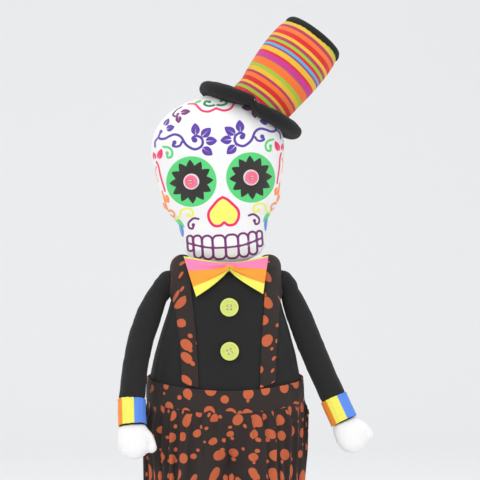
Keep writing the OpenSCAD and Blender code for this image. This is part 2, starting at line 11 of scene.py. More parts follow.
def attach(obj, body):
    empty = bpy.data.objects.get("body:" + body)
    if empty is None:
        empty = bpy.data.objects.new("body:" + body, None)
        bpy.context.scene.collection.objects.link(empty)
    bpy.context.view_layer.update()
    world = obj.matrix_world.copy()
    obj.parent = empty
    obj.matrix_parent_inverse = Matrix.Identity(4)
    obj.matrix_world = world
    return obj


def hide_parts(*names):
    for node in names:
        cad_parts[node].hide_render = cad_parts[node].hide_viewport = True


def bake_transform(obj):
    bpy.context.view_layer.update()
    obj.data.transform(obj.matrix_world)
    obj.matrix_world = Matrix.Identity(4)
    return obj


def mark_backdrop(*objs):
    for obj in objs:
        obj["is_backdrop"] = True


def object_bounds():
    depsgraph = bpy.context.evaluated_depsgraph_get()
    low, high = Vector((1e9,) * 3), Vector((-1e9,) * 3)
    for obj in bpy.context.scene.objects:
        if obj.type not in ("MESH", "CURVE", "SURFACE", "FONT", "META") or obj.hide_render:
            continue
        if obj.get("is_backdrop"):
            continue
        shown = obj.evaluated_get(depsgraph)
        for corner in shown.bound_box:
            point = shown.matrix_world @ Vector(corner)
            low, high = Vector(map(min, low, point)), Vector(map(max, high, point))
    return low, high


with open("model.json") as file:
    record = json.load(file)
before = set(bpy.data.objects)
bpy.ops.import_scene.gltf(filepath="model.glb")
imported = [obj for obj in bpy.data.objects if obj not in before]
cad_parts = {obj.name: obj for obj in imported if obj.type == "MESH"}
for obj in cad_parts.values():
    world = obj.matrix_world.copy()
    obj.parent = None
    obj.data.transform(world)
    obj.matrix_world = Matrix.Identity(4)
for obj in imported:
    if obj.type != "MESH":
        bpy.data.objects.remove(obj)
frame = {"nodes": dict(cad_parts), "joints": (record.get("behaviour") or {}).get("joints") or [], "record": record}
start_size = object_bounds()
nodes = frame["nodes"]
bpy.context.view_layer.update()
TAU = 2 * math.pi
SIDES = ((-1, "right"), (1, "left"))

# ---- Frames: millimetres in, the row frame's metres out ----
nod = [j for j in frame["joints"] if j["name"] == "head_nod"][0]
MID = nod["pos_m"][0] * 1000
SHOULDER = nod["pos_m"][2] * 1000


def turn(axis, degrees):
    return Matrix.Rotation(math.radians(degrees), 4, axis)


def shift(x, y, z):
    return Matrix.Translation((x, y, z))


BODY = shift(MID, 0, 0)
HEAD = shift(MID, 0, SHOULDER) @ turn("Y", -4) @ turn("Z", -3) @ shift(0, 0, -5)
HAT_SEAT = HEAD @ shift(41.9, 2, 182.6)
HAT_LEAN = 30
CROWN = HAT_SEAT @ turn("X", -9) @ turn("Y", HAT_LEAN) @ shift(4, 0, 0) @ turn("Y", 13)
BRIM = HAT_SEAT @ turn("X", -3) @ turn("Y", HAT_LEAN)


def out(place, points):
    """Points in a frame's millimetres, as the row frame's metres."""
    m = np.array(place)
    p = np.asarray(points, float)
    return (p @ m[:3, :3].T + m[:3, 3]) / 1000


def back(place, points):
    """Points in the row frame's metres, as a frame's millimetres."""
    return out(place.inverted(), np.asarray(points, float) * 1000) * 1000


# ---- Surfaces ----
def joined(objects):
    """The vertices and faces of some objects, as one list of each."""
    verts, faces = [], []
    for o in objects:
        base = len(verts)
        verts += [o.matrix_world @ v.co for v in o.data.vertices]
        faces += [[base + i for i in p.vertices] for p in o.data.polygons]
    return verts, faces


def tree_of(verts, polygons):
    """A surface to send rays at."""
    return BVHTree.FromPolygons([Vector(v) for v in verts], [tuple(p.vertices) for p in polygons])


def struck(tree, place, start, way, reach):
    """Where a ray meets a part, in a frame's millimetres, or None."""
    a = Vector(out(place, start))
    b = Vector(out(place, np.asarray(start, float) + np.asarray(way, float)))
    hit = tree.ray_cast(a, (b - a).normalized(), reach / 1000)[0]
    return None if hit is None else back(place, hit)


def outline(tree, place, centres, cols, reach=200):
    """How far the outside of a part lies from each centre on level rings, in millimetres."""
    r = np.full((len(centres), cols), np.nan)
    spin = np.array(place)[:3, :3]
    ways = [spin @ (math.cos(a), math.sin(a), 0) for a in TAU * np.arange(cols) / cols]
    for i, c in enumerate(centres):
        middle = out(place, c)
        for j, way in enumerate(ways):
            hit = tree.ray_cast(Vector(middle + way * reach / 1000), Vector(-way), reach / 1000)
            if hit[0] is not None:
                r[i, j] = reach - hit[3] * 1000
        known = ~np.isnan(r[i])
        if known.sum() > 3:
            spots = np.flatnonzero(known)
            r[i] = np.interp(np.arange(cols), spots, r[i][spots], period=cols)
        else:
            r[i] = 0.5
    return r


def smoothed(rows, rounds):
    """Rows averaged in place with their neighbours, with both ends kept."""
    for _ in range(rounds):
        rows[1:-1] = (rows[:-2] + 2 * rows[1:-1] + rows[2:]) / 4
    return rows


def soften(r, round_it, down):
    """Radii averaged round their rings, and then from ring to ring."""
    for _ in range(round_it):
        r = (np.roll(r, 1, 1) + 2 * r + np.roll(r, -1, 1)) / 4
    for _ in range(down):
        p = np.pad(r, ((1, 1), (0, 0)), "edge")
        r = (p[:-2] + 2 * r + p[2:]) / 4
    return r


def upright(heights):
    """Centres on a frame's own axis."""
    return np.array([(0, 0, z) for z in np.ravel(heights)])


def around(centres, r):
    """Points of level rings from their centres and radii."""
    a = TAU * np.arange(r.shape[1]) / r.shape[1]
    c = np.asarray(centres, float)[:, None, :]
    return c + r[..., None] * np.stack([np.cos(a), np.sin(a), 0 * a], -1)[None]


def make_mesh(name, verts, faces, uvs=None):
    """A smooth object, with a uv for each corner of each face if there are any."""
    mesh = bpy.data.meshes.new(name)
    mesh.from_pydata(np.asarray(verts, float).tolist(), [], faces)
    if uvs is not None:
        mesh.uv_layers.new(name="weave").data.foreach_set("uv", np.asarray(uvs, float).ravel())
    mesh.polygons.foreach_set("use_smooth", [True] * len(mesh.polygons))
    mesh.update()
    obj = bpy.data.objects.new(name, mesh)
    bpy.context.collection.objects.link(obj)
    return obj


def grid(name, points, uv=None, wrap=True, caps=True):
    """A mesh from rows of points; uv has one more column than a wrapped grid."""
    rows, cols = points.shape[:2]
    verts = points.reshape(-1, 3)
    if uv is None:
        uv = flat_map(np.linspace(0, 1, cols + 1)[None], np.linspace(0, 1, rows)[:, None])
    faces, uvs = [], []
    for i in range(rows - 1):
        for j in range(cols if wrap else cols - 1):
            k = (j + 1) % cols
            faces.append((i * cols + j, i * cols + k, (i + 1) * cols + k, (i + 1) * cols + j))
            uvs += [uv[i, j], uv[i, j + 1], uv[i + 1, j + 1], uv[i + 1, j]]
    if wrap and caps:
        verts = np.vstack([verts, points[0].mean(0), points[-1].mean(0)])
        low, high = rows * cols, rows * cols + 1
        for j in range(cols):
            k, top = (j + 1) % cols, (rows - 1) * cols
            faces.append((low, k, j))
            uvs += [uv[0, j], uv[0, j + 1], uv[0, j]]
            faces.append((high, top + j, top + k))
            uvs += [uv[-1, j], uv[-1, j], uv[-1, j + 1]]
    return make_mesh(name, verts, faces, uvs)


def mark(obj, name, values):
    """A number on each vertex, for a material to read."""
    values = np.asarray(values, np.float32)
    attribute = obj.data.attributes.new(name, "FLOAT", "POINT")
    attribute.data.foreach_set("value", values)


def coords(obj):
    co = np.empty(len(obj.data.vertices) * 3)
    obj.data.vertices.foreach_get("co", co)
    return co.reshape(-1, 3)


def set_coords(obj, co):
    obj.data.vertices.foreach_set("co", np.asarray(co, float).ravel())
    obj.data.update()


def normals(obj):
    n = np.empty(len(obj.data.vertices) * 3)
    obj.data.vertices.foreach_get("normal", n)
    return n.reshape(-1, 3)


def swell(obj, far):
    """Each vertex moved out along its normal, in millimetres."""
    set_coords(obj, coords(obj) + normals(obj) * (far[:, None] / 1000))


def flat_map(u, v):
    """A grid's uv from its two shares, each a row, a column or a whole grid."""
    return np.stack(np.broadcast_arrays(u, v), -1)


def settled(obj):
    """The object's modifiers, made part of its mesh."""
    graph = bpy.context.evaluated_depsgraph_get()
    mesh = bpy.data.meshes.new_from_object(obj.evaluated_get(graph), depsgraph=graph)
    obj.modifiers.clear()
    obj.data = mesh
    mesh.polygons.foreach_set("use_smooth", [True] * len(mesh.polygons))
    return obj


# Each wave of the ripples: how fast it runs along x, y and z, and where it starts
WAVES = [(1, 0.3, -0.4, 0.0), (-0.5, 1.1, 0.35, 2.1), (0.2, -0.6, 1.2, 4.0),
         (1.7, 1.3, 0.6, 1.0), (-1.2, 0.7, 1.9, 5.2), (0.8, -2.1, -1.1, 3.3)]


def ripples(p, size, seed=0.0):
    """Smooth noise between about -1 and 1 at points in millimetres."""
    q = np.asarray(p, float) / size + seed
    total = np.zeros(q.shape[:-1])
    for k, (a, b, c, start) in enumerate(WAVES):
        bend = 1.3 * np.sin(q[..., (k + 1) % 3] + start)
        total += np.sin(a * q[..., 0] + b * q[..., 1] + c * q[..., 2] + start + bend) / (1 + 0.25 * k)
    return total / 3


def puffed(name, sources, voxel, rounds, extra=()):
    """One soft skin over the outside of some parts and some extra meshes."""
    obj = make_mesh(name, *joined([nodes[n] for n in sources] + list(extra)))
    remesh = obj.modifiers.new("skin", "REMESH")
    remesh.mode = "VOXEL"
    remesh.voxel_size = voxel / 1000
    remesh.use_smooth_shade = True
    settled(obj)
    keep_outside(obj)
    smooth = obj.modifiers.new("smooth", "SMOOTH")
    smooth.factor = 0.5
    smooth.iterations = rounds
    settled(obj)
    for o in extra:
        bpy.data.objects.remove(o)
    return obj


def keep_outside(obj):
    """Only the largest shell of a mesh is kept."""
    mesh = obj.data
    parent = list(range(len(mesh.vertices)))

    def root(i):
        while parent[i] != i:
            parent[i] = parent[parent[i]]
            i = parent[i]
        return i

    for a, b in mesh.edge_keys:
        a, b = root(a), root(b)
        if a != b:
            parent[a] = b
    roots = np.array([root(i) for i in range(len(parent))])
    best = np.bincount(roots).argmax()
    if (roots != best).any():
        keep = np.flatnonzero(roots == best)
        new = {int(k): i for i, k in enumerate(keep)}
        verts = coords(obj)[keep]
        faces = [[new[v] for v in p.vertices] for p in mesh.polygons if p.vertices[0] in new]
        fresh = bpy.data.meshes.new(mesh.name)
        fresh.from_pydata(verts.tolist(), [], faces)
        obj.data = fresh


def blob(centre, sizes, place=BODY):
    """A rounded lump, to build a soft skin with."""
    tilt = np.linspace(-1.45, 1.45, 14)
    points = around(upright(np.sin(tilt)), np.repeat(np.cos(tilt)[:, None], 24, 1))
    return grid("lump", out(place, points * np.array(sizes) + np.array(centre)))


# ---- Materials ----
def srgb(*rgb):
    """A colour from its display numbers, 0 to 255."""
    return tuple((c / 255 / 12.92 if c < 10 else ((c / 255 + 0.055) / 1.055) ** 2.4) for c in rgb) + (1.0,)


class Look:
    """A material and a short way to add nodes to it."""

    def __init__(self, name, colour=(0.8, 0.8, 0.8, 1), rough=0.9, **direct):
        self.mat = bpy.data.materials.new(name)
        self.mat.use_nodes = True
        self.tree = self.mat.node_tree
        self.shader = self.tree.nodes["Principled BSDF"]
        self.set("Base Color", colour)
        self.set("Roughness", rough)
        for key, value in direct.items():
            self.set(key.replace("_", " "), value)
        self.mat.diffuse_color = colour if isinstance(colour, tuple) else (0.5, 0.5, 0.5, 1)

    def set(self, socket, value):
        if isinstance(value, bpy.types.NodeSocket):
            self.tree.links.new(value, self.shader.inputs[socket])
        else:
            self.shader.inputs[socket].default_value = value

    def add(self, kind, inputs, output=0, **settings):
        n = self.tree.nodes.new("ShaderNode" + kind)
        for key, value in settings.items():
            setattr(n, key, value)
        for key, value in inputs.items():
            if isinstance(value, bpy.types.NodeSocket):
                self.tree.links.new(value, n.inputs[key])
            else:
                n.inputs[key].default_value = value
        return n.outputs[output]

    def math(self, kind, a, b=0.0, c=0.0):
        return self.add("Math", {0: a, 1: b, 2: c}, operation=kind)

    def step(self, value, edge, soft):
        """0 below the edge and 1 above it."""
        ends = {"Value": value, "From Min": edge - soft, "From Max": edge + soft}
        return self.add("MapRange", ends, clamp=True)

    def mix(self, share, a, b):
        return self.add("Mix", {0: share, 6: a, 7: b}, output=2, data_type="RGBA")

    def place(self):
        return self.add("TexCoord", {}, output=3)

    def weave(self):
        return self.add("UVMap", {}, uv_map="weave")

    def noise(self, where, scale, detail=3.0, rough=0.6):
        return self.add("TexNoise", {"Vector": where, "Scale": scale, "Detail": detail, "Roughness": rough})

    def stretch(self, where, x, y, z=1.0):
        return self.add("VectorMath", {0: where, 1: (x, y, z)}, operation="MULTIPLY")

    def number(self, name):
        return self.add("Attribute", {}, output=2, attribute_name=name)

    def bump(self, height, strength, distance, under=None):
        inputs = {"Height": height, "Strength": strength, "Distance": distance}
        if under is not None:
            inputs["Normal"] = under
        result = self.add("Bump", inputs)
        self.set("Normal", result)
        return result

    def pile(self, strength=0.5, scale=900.0, depth=0.0006):
        """Short fibres and soft lumps."""
        first = self.bump(self.noise(self.place(), 90.0, 4.0), 0.35, 0.002)
        return self.bump(self.noise(self.place(), scale, 3.0, 0.7), strength, depth, first)

    def threads(self, where, per_metre, strength=0.4, depth=0.0004):
        """A plain weave in two directions."""
        waves = {"Vector": where, "Scale": per_metre, "Distortion": 0.4}
        across = self.add("TexWave", waves, output=1, wave_type="BANDS", bands_direction="X")
        along = self.add("TexWave", waves, output=1, wave_type="BANDS", bands_direction="Y")
        first = self.bump(self.noise(self.place(), 60.0, 3.0), 0.3, 0.002)
        return self.bump(self.math("MULTIPLY", across, along), strength, depth, first)


def tinted(look, colour, where=None, amount=0.12, scale=220.0):
    """A colour with a little unevenness."""
    dark = tuple(c * (1 - amount) for c in colour[:3]) + (1.0,)
    light = tuple(min(1, c * (1 + amount)) for c in colour[:3]) + (1.0,)
    return look.mix(look.noise(where or look.place(), scale, 4.0), dark, light)


def uneven(name, colour, rough, amount=0.12, scale=220.0, **direct):
    """A material of one colour that isn't quite the same all over."""
    look = Look(name, colour, rough, **direct)
    look.set("Base Color", tinted(look, colour, amount=amount, scale=scale))
    return look


WHITE = srgb(237, 237, 238)
# The print's colours, each laid over those before it
PRINTS = {"green": srgb(88, 208, 122), "ink": srgb(46, 44, 42), "blank": WHITE, "violet": srgb(92, 62, 163),
          "plum": srgb(115, 40, 110), "crimson": srgb(236, 40, 105), "deep_green": srgb(20, 130, 75),
          "orange": srgb(250, 140, 60), "pale": srgb(238, 236, 110), "sky": srgb(60, 130, 215),
          "nose": srgb(250, 250, 112)}

plush = Look("printed plush", WHITE, 0.95, Sheen_Weight=0.25)
shade = tinted(plush, WHITE, amount=0.03)
for colour_name, colour in PRINTS.items():
    inside = plush.step(plush.number("print_" + colour_name), 0.0, 0.22)
    shade = plush.mix(inside, shade, colour)
plush.set("Base Color", shade)
plush.pile(0.35, 1100.0, 0.0005)

white = uneven("white plush", WHITE, 0.95, 0.03, Sheen_Weight=0.25)
white.pile(0.35, 1100.0, 0.0005)

black = uneven("black brushed knit", srgb(25, 25, 26), 0.95, 0.35, 700.0, Sheen_Weight=0.05)
black.pile(0.6, 1300.0, 0.0006)

felt = uneven("black felt", srgb(19, 19, 20), 0.95, 0.35, 900.0, Sheen_Weight=0.03)
felt.pile(0.7, 1500.0, 0.0007)

dotted = Look("dotted cloth", rough=0.9, Sheen_Weight=0.05)
cloth_at = dotted.weave()
wander = dotted.add("TexNoise", {"Vector": cloth_at, "Scale": 60.0, "Detail": 2.0}, output=1)
wander = dotted.add("VectorMath", {0: wander, 1: (-0.5, -0.5, -0.5)}, operation="ADD")
wander = dotted.add("VectorMath", {0: wander, "Scale": 0.0018}, operation="SCALE")
cloth_at = dotted.add("VectorMath", {0: cloth_at, 1: wander}, operation="ADD")
on_dots = None
# Large dots and small ones: the metres between them, the least and greatest size, and how many are printed
for cell, low, high, often in ((0.0235, 0.15, 0.31, 1.0), (0.0145, 0.12, 0.19, 0.5)):
    cells = {"Vector": cloth_at, "Scale": 1 / cell, "Randomness": 0.5}
    far = dotted.add("TexVoronoi", cells, voronoi_dimensions="2D")
    kind = dotted.add("TexVoronoi", cells, output=1, voronoi_dimensions="2D")
    parts = dotted.add("SeparateColor", {"Color": kind})
    size = dotted.add("MapRange", {"Value": parts, "To Min": low, "To Max": high})
    inside = dotted.step(dotted.math("SUBTRACT", size, far), 0.0, 0.012)
    share = dotted.math("LESS_THAN", dotted.add("SeparateColor", {"Color": kind}, output=1), often)
    inside = dotted.math("MULTIPLY", inside, share)
    on_dots = inside if on_dots is None else dotted.math("MAXIMUM", on_dots, inside)
ground = tinted(dotted, srgb(42, 32, 29), dotted.weave(), 0.25, 900.0)
rust = tinted(dotted, srgb(196, 96, 58), dotted.weave(), 0.18, 1100.0)
dotted.set("Base Color", dotted.mix(on_dots, ground, rust))
dotted.threads(dotted.weave(), 900.0, 0.4, 0.0003)

# The crown's stripes from the brim up, each with its width and its dye
STRIPES = [(25, "blue"), (30, "red"), (25, "lime"), (25, "raspberry"), (25, "yellow"), (35, "red"),
           (35, "orange"), (20, "raspberry"), (35, "yellow"), (30, "lime"), (55, "orange"), (8, "olive"),
           (45, "magenta"), (15, "red"), (40, "yellow"), (15, "purple"), (20, "blue"), (22, "red"),
           (22, "lime"), (28, "raspberry"), (25, "yellow"), (35, "red"), (35, "orange"), (25, "raspberry"),
           (30, "yellow"), (20, "lime")]
DYES = {"blue": srgb(85, 180, 220), "red": srgb(225, 35, 45), "lime": srgb(160, 200, 60),
        "raspberry": srgb(185, 55, 95), "yellow": srgb(240, 190, 50), "orange": srgb(253, 120, 50),
        "olive": srgb(140, 130, 50), "magenta": srgb(208, 52, 150), "purple": srgb(150, 60, 150)}
striped = Look("striped cloth", rough=0.85, Sheen_Weight=0.1)
parts = striped.add("SeparateXYZ", {"Vector": striped.weave()}, output=1)
ramp = striped.tree.nodes.new("ShaderNodeValToRGB")
ramp.color_ramp.interpolation = "CONSTANT"
total, run = sum(w for w, _ in STRIPES), 0
for i, (w, dye) in enumerate(STRIPES):
    stop = ramp.color_ramp.elements[i] if i < 2 else ramp.color_ramp.elements.new(run / total)
    stop.position = run / total
    stop.color = DYES[dye]
    run += w
waver = striped.noise(striped.place(), 25.0, 2.0)
waver = striped.math("MULTIPLY_ADD", waver, 0.012, -0.006)
striped.tree.links.new(striped.math("ADD", parts, waver), ramp.inputs[0])
worn = striped.mix(0.12, ramp.outputs[0], (0.1, 0.03, 0.02, 1))
striped.set("Base Color", striped.mix(striped.noise(striped.weave(), 90.0, 3.0), ramp.outputs[0], worn))
striped.threads(striped.place(), 900.0, 0.45, 0.0004)


def banded(name, colours, edges, rough, output=1, edge_line=None):
    """Cloth in a few stripes across one direction of its weave."""
    look = Look(name, rough=rough, Sheen_Weight=0.1)
    share = look.add("SeparateXYZ", {"Vector": look.weave()}, output=output)
    waver = look.math("MULTIPLY_ADD", look.noise(look.place(), 60.0, 2.0), 0.02, -0.01)
    share = look.math("ADD", share, waver)
    result = colours[0]
    for edge, colour in zip(edges, colours[1:]):
        result = look.mix(look.step(share, edge, 0.008), result, colour)
    if edge_line:
        result = look.mix(look.step(share, edge_line[0], 0.006), result, edge_line[1])
    worn = look.mix(0.1, result, (0.3, 0.1, 0.05, 1))
    look.set("Base Color", look.mix(look.noise(look.place(), 300.0, 3.0), result, worn))
    look.threads(look.place(), 1000.0, 0.3, 0.0003)
    return look


TIE_DYES = [srgb(248, 243, 95), srgb(252, 160, 35), srgb(251, 130, 180)]
CUFF_DYES = [srgb(245, 145, 30), srgb(240, 235, 90), srgb(78, 138, 235)]
tie_look = banded("tie cloth", TIE_DYES, [0.27, 0.66], 0.6, edge_line=(0.965, srgb(215, 240, 70)))
cuff_look = banded("cuff cloth", CUFF_DYES, [0.15, 0.56], 0.6, output=0)

pink = uneven("pink button", srgb(250, 112, 150), 0.3, 0.08, 150.0, Coat_Weight=0.3)
lime = uneven("lime button", srgb(208, 218, 112), 0.3, 0.1, 120.0, Coat_Weight=0.3)


def twisted(name, colour):
    """Twisted yarn of one colour."""
    look = uneven(name, colour, 0.7, 0.15, 1500.0, Sheen_Weight=0.1)
    waves = {"Vector": look.place(), "Scale": 900.0, "Distortion": 2.0}
    look.bump(look.add("TexWave", waves, output=1, bands_direction="DIAGONAL"), 0.6, 0.0003)
    return look


thread = twisted("pale thread", srgb(238, 232, 200))
black_thread = twisted("black thread", srgb(34, 34, 34))
elastic = twisted("covered elastic", srgb(40, 40, 40))
stuffing = uneven("polyester wadding", srgb(238, 238, 236), 1.0, 0.08, Sheen_Weight=0.3)
stuffing.bump(stuffing.noise(stuffing.place(), 160.0, 6.0, 0.75), 0.9, 0.003)
wood = Look("turned dowel", srgb(205, 165, 115), 0.6)
grain = wood.noise(wood.stretch(wood.place(), 400.0, 400.0, 18.0), 1.0, 5.0)
wood.set("Base Color", wood.mix(grain, srgb(180, 135, 85), srgb(222, 186, 138)))
wood.bump(grain, 0.2, 0.0003)
bag = uneven("sand bag cloth", srgb(190, 170, 135), 0.9, 0.15, 500.0)
bag.threads(bag.place(), 700.0, 0.6, 0.0005)
board = uneven("sole board", srgb(48, 48, 48), 0.6, 0.2, 600.0)
board.bump(board.noise(board.place(), 900.0, 2.0), 0.4, 0.0003)

FINISH = {"printed_plush": plush, "white_plush": white, "stuffing": stuffing, "eye_button": pink,
          "shirt_button": lime, "thread": thread, "black_thread": black_thread, "black_felt": felt,
          "striped_cloth": striped,
          "black_cloth": black, "tie_cloth": tie_look, "cuff_cloth": cuff_look, "dotted_cloth": dotted,
          "elastic": elastic, "dowel": wood, "sand_bag": bag, "sole_board": board}


def dress(obj, slot, body=None):
    """A finish and its slot, and the body the piece moves with."""
    obj.data.materials.clear()
    obj.data.materials.append(FINISH[slot].mat)
    if body:
        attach(obj, body)
    return obj


def sewn(obj, body, node, slot="dotted_cloth"):
    """A piece of sheet cloth that stands for a part."""
    dress(obj, slot, body)
    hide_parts(node)


def soft(obj, slot, body, stands_for, fill=0.8):
    """A stuffed piece that stands for some parts."""
    dress(obj, slot, body)
    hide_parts(*stands_for)
    return obj


# ---- Head ----
skull_tree = BVHTree.FromPolygons(*joined([nodes["head_cover"]]))
rows, cols = 260, 520
SKULL_MIDDLE, SKULL_HALF, NECK_BACK = 102, 101.6, -29
levels = SKULL_MIDDLE - SKULL_HALF * np.cos(math.pi * (np.arange(rows) + 0.5) / rows)
middles = []
for z in levels:
    front = struck(skull_tree, HEAD, (0, -200, z), (0, 1, 0), 400)
    rear = struck(skull_tree, HEAD, (0, 200, z), (0, -1, 0), 400)
    middles.append((0, NECK_BACK if front is None or rear is None else (front[1] + rear[1]) / 2, z))
middles = np.array(middles)
smoothed(middles[:, 1], 60)
skull_r = soften(outline(skull_tree, HEAD, middles, cols), 14, 22)
head_points = around(middles, skull_r)
flat = head_points.reshape(-1, 3)
lumps = ripples(flat, 14.0) * 0.35 + ripples(flat, 6.0, 3.0) * 0.12
seam = np.exp(-(((flat[:, 1] - 6) / 1.3) ** 2)) * (flat[:, 2] < 196)
outward = flat - np.repeat(middles, cols, 0)
outward /= np.linalg.norm(outward, axis=1)[:, None]
flat = flat + outward * (lumps - 0.8 * seam)[:, None]
head = grid("head_skin", out(HEAD, flat.reshape(rows, cols, 3)))

# The print: each colour has a distance in millimetres from its edge, positive inside
P = np.vstack([flat, flat[:cols].mean(0), flat[-cols:].mean(0)])
face_tree = tree_of(P, head.data.polygons)
ink_map = {name: np.full(len(P), -9.0) for name in PRINTS}


def pinned(points, rear=False):
    """Points of the face's front view, laid on the head."""
    found = []
    way = Vector((0, -1 if rear else 1, 0))
    for u, v in points:
        v = min(max(v, 1), 203)
        for shrink in (1, 0.985, 0.97, 0.95, 0.92, 0.88, 0.8):
            hit = face_tree.ray_cast(Vector((u * shrink, 0, v)) - 200 * way, way)[0]
            if hit is not None:
                found.append(hit)
                break
    return np.array(found)


def flowing(points, steps=9):
    """A smooth line through some points."""
    p = np.array(points, float)
    if len(p) < 3:
        return p[0] + (p[-1] - p[0]) * np.linspace(0, 1, steps)[:, None]
    p = np.vstack([2 * p[0] - p[1], p, 2 * p[-1] - p[-2]])
    t = np.linspace(0, 1, steps, endpoint=False)[:, None]
    line = []
    for a, b, c, d in zip(p[:-3], p[1:-2], p[2:-1], p[3:]):
        curve = (2 * a - 5 * b + 4 * c - d) * t**2 + (3 * b - a - 3 * c + d) * t**3
        line.append(0.5 * (2 * b + (c - a) * t + curve))
    return np.vstack(line + [p[-2]])


# Depth counts for less than width and height, as the print was drawn for the front view
FLAT = np.array((1, 0.4, 1))


def near(line, room=15):
    """The head's vertices in the box round a line."""
    return np.flatnonzero(((P > line.min(0) - room) & (P < line.max(0) + room)).all(1))


def from_line(q, line):
    """Distance from points to a line, and the share of the line's length."""
    best, share = np.full(len(q), 99.0), np.zeros(len(q))
    lengths = np.linalg.norm(np.diff(line, axis=0), axis=1)
    total = max(lengths.sum(), 1e-6)
    run = 0
    for a, b, length in zip(line[:-1], line[1:], lengths):
        d = b - a
        t = np.clip(((q - a) @ d) / max(d @ d, 1e-9), 0, 1)
        far = np.linalg.norm(q - a - t[:, None] * d, axis=1)
        closer = far < best
        best[closer], share[closer] = far[closer], (run + t[closer] * length) / total
        run += length
    return best, share


def sides(points, rear):
    """The points laid on the head, and then their mirror image."""
    for sign in (1, -1):
        yield pinned([(sign * u, v) for u, v in points], rear)


def stroke(colour, points, wide=1.5, end=None, rear=False, dot=0.0):
    """A drawn line on both sides, from one half width to another, with a round end."""
    for line in sides(flowing(points), rear):
        if len(line) < 2:
            continue
        at = near(line)
        far, share = from_line(P[at] * FLAT, line * FLAT)
        inside = wide + ((wide if end is None else end) - wide) * share - far
        if dot:
            inside = np.maximum(inside, dot - np.linalg.norm((P[at] - line[-1]) * FLAT, axis=1))
        ink_map[colour][at] = np.maximum(ink_map[colour][at], inside)


def leaf(colour, base, tip, wide=5.0, rib=True, rear=False):
    """A leaf on both sides, split by its rib."""
    for line in sides([base, tip], rear):
        if len(line) < 2:
            continue
        at = near(line, 22.5)
        d = (line[1] - line[0]) * FLAT
        length = np.linalg.norm(d)
        q = (P[at] - line[0]) * FLAT
        t = q @ d / length**2
        far = np.linalg.norm(q - np.clip(t, 0, 1)[:, None] * d, axis=1)
        shape = np.sin(math.pi * np.clip(t, 0, 1) ** 0.8) ** 0.75 * wide
        inside = np.where((t < 0) | (t > 1), -far, shape - far)
        if rib:
            inside = np.minimum(inside, np.where(t < 0.78, far - 0.5 * (1 - t), 9))
        ink_map[colour][at] = np.maximum(ink_map[colour][at], inside)


ahead = np.flatnonzero(P[:, 1] < 10)
U, V = P[ahead, 0], P[ahead, 2]


def stamp(colour, inside):
    """A shape on the front of the head, from its distance inside."""
    ink_map[colour][ahead] = np.maximum(ink_map[colour][ahead], inside)


# Each eye: a green disc, a dark star with twelve points, and a white middle for the button
EYE_OUT, EYE_UP, EYE_POINTS = 35, 100, 12
for side in (1, -1):
    du, dv = U - side * EYE_OUT, V - EYE_UP
    reach, angle = np.hypot(du, dv), np.arctan2(dv, du)
    stamp("green", 29.4 - reach)
    point = np.abs(((angle / TAU * EYE_POINTS) % 1) - 0.5) * 2
    stamp("ink", 18.6 + 7.2 * point - reach)
    stamp("blank", 9.2 - reach)


def in_shape(points, u, v):
    """Distance inside a closed outline in the front view, positive inside."""
    n = len(points)
    far, within = np.full(len(u), 99.0), np.zeros(len(u), bool)
    for (a, b), (c, d) in zip(points, np.roll(points, -1, 0)):
        t = np.clip(((u - a) * (c - a) + (v - b) * (d - b)) / max((c - a) ** 2 + (d - b) ** 2, 1e-9), 0, 1)
        far = np.minimum(far, np.hypot(u - a - t * (c - a), v - b - t * (d - b)))
        crosses = (b > v) != (d > v)
        within ^= crosses & (u < a + (v - b) * (c - a) / np.where(abs(d - b) < 1e-9, 1e-9, d - b))
    return np.where(within, far, -far)


half_nose = flowing([(0, 81), (6.5, 77.5), (13, 71), (18, 65), (19.5, 58.5), (17.8, 51.5), (13.4, 46),
                     (7.8, 44.4), (3, 45.4), (0, 48)], 5)
nose = np.vstack([half_nose, half_nose[-2:0:-1] * (-1, 1)])
inside = in_shape(nose, U, V)
stamp("crimson", np.minimum(inside, 3.4 - inside))
stamp("nose", inside - 3.3)
# A column of teeth from the midline out: its two sides, its top and its bottom
TEETH = [(0, 15, 35.6, 6.6), (15, 27.3, 36.2, 7.4), (27.3, 37.5, 37.2, 9.4), (37.5, 44.6, 37.6, 18.5)]
for a, b, top, bottom in TEETH:
    hu, hv = (b - a) / 2 + 0.3, (top - bottom) / 2
    bend = min(hu - 0.2, 6.2)
    qu, qv = abs(abs(U) - (a + b) / 2) - hu + bend, abs(V - (top + bottom) / 2) - hv + bend
    gone = np.hypot(np.maximum(qu, 0), np.maximum(qv, 0)) + np.minimum(np.maximum(qu, qv), 0) - bend
    stamp("plum", 1.3 - abs(gone + 0.5))
stroke("plum", [(0, 20.4), (15, 21), (27.3, 23.3), (37.5, 26.5), (44, 28.5)], 1.15)

# Flowers and scrolls of the front, drawn once and mirrored
PETALS = [((26, 153.5), (26, 168)), ((19.5, 151), (8, 160.5)), ((15.5, 145.5), (1.8, 145)),
          ((19.5, 138), (8.3, 129))]
for base, tip in PETALS:
    leaf("violet", base, tip, 5.2)
stroke("violet", [(28, 148), (30.3, 150), (26, 152.6), (20.5, 150), (18.5, 145), (21, 139.5), (28, 137),
                  (34.5, 140), (39, 144.5), (43.5, 153), (50, 156.5), (57, 155), (62, 153), (67, 153.2),
                  (69.5, 156), (66.5, 162)], 1.5, dot=2.4)
stroke("violet", [(27.4, 147.6), (28.2, 147.8)], 2.9)
stroke("violet", [(43, 146.5), (45, 143.2), (49, 142), (53.5, 143.6), (51.5, 147)], 1.4, dot=2.7)
leaf("violet", (60, 164), (50, 165.8), 4.3)
leaf("violet", (62, 168.5), (55.7, 177), 4)
stroke("violet", [(69.5, 156), (74, 151), (74.5, 145)], 1.4)
leaf("plum", (42, 182.5), (30, 182.8), 4.2)
leaf("plum", (44.5, 178.6), (45, 169.5), 3.8)
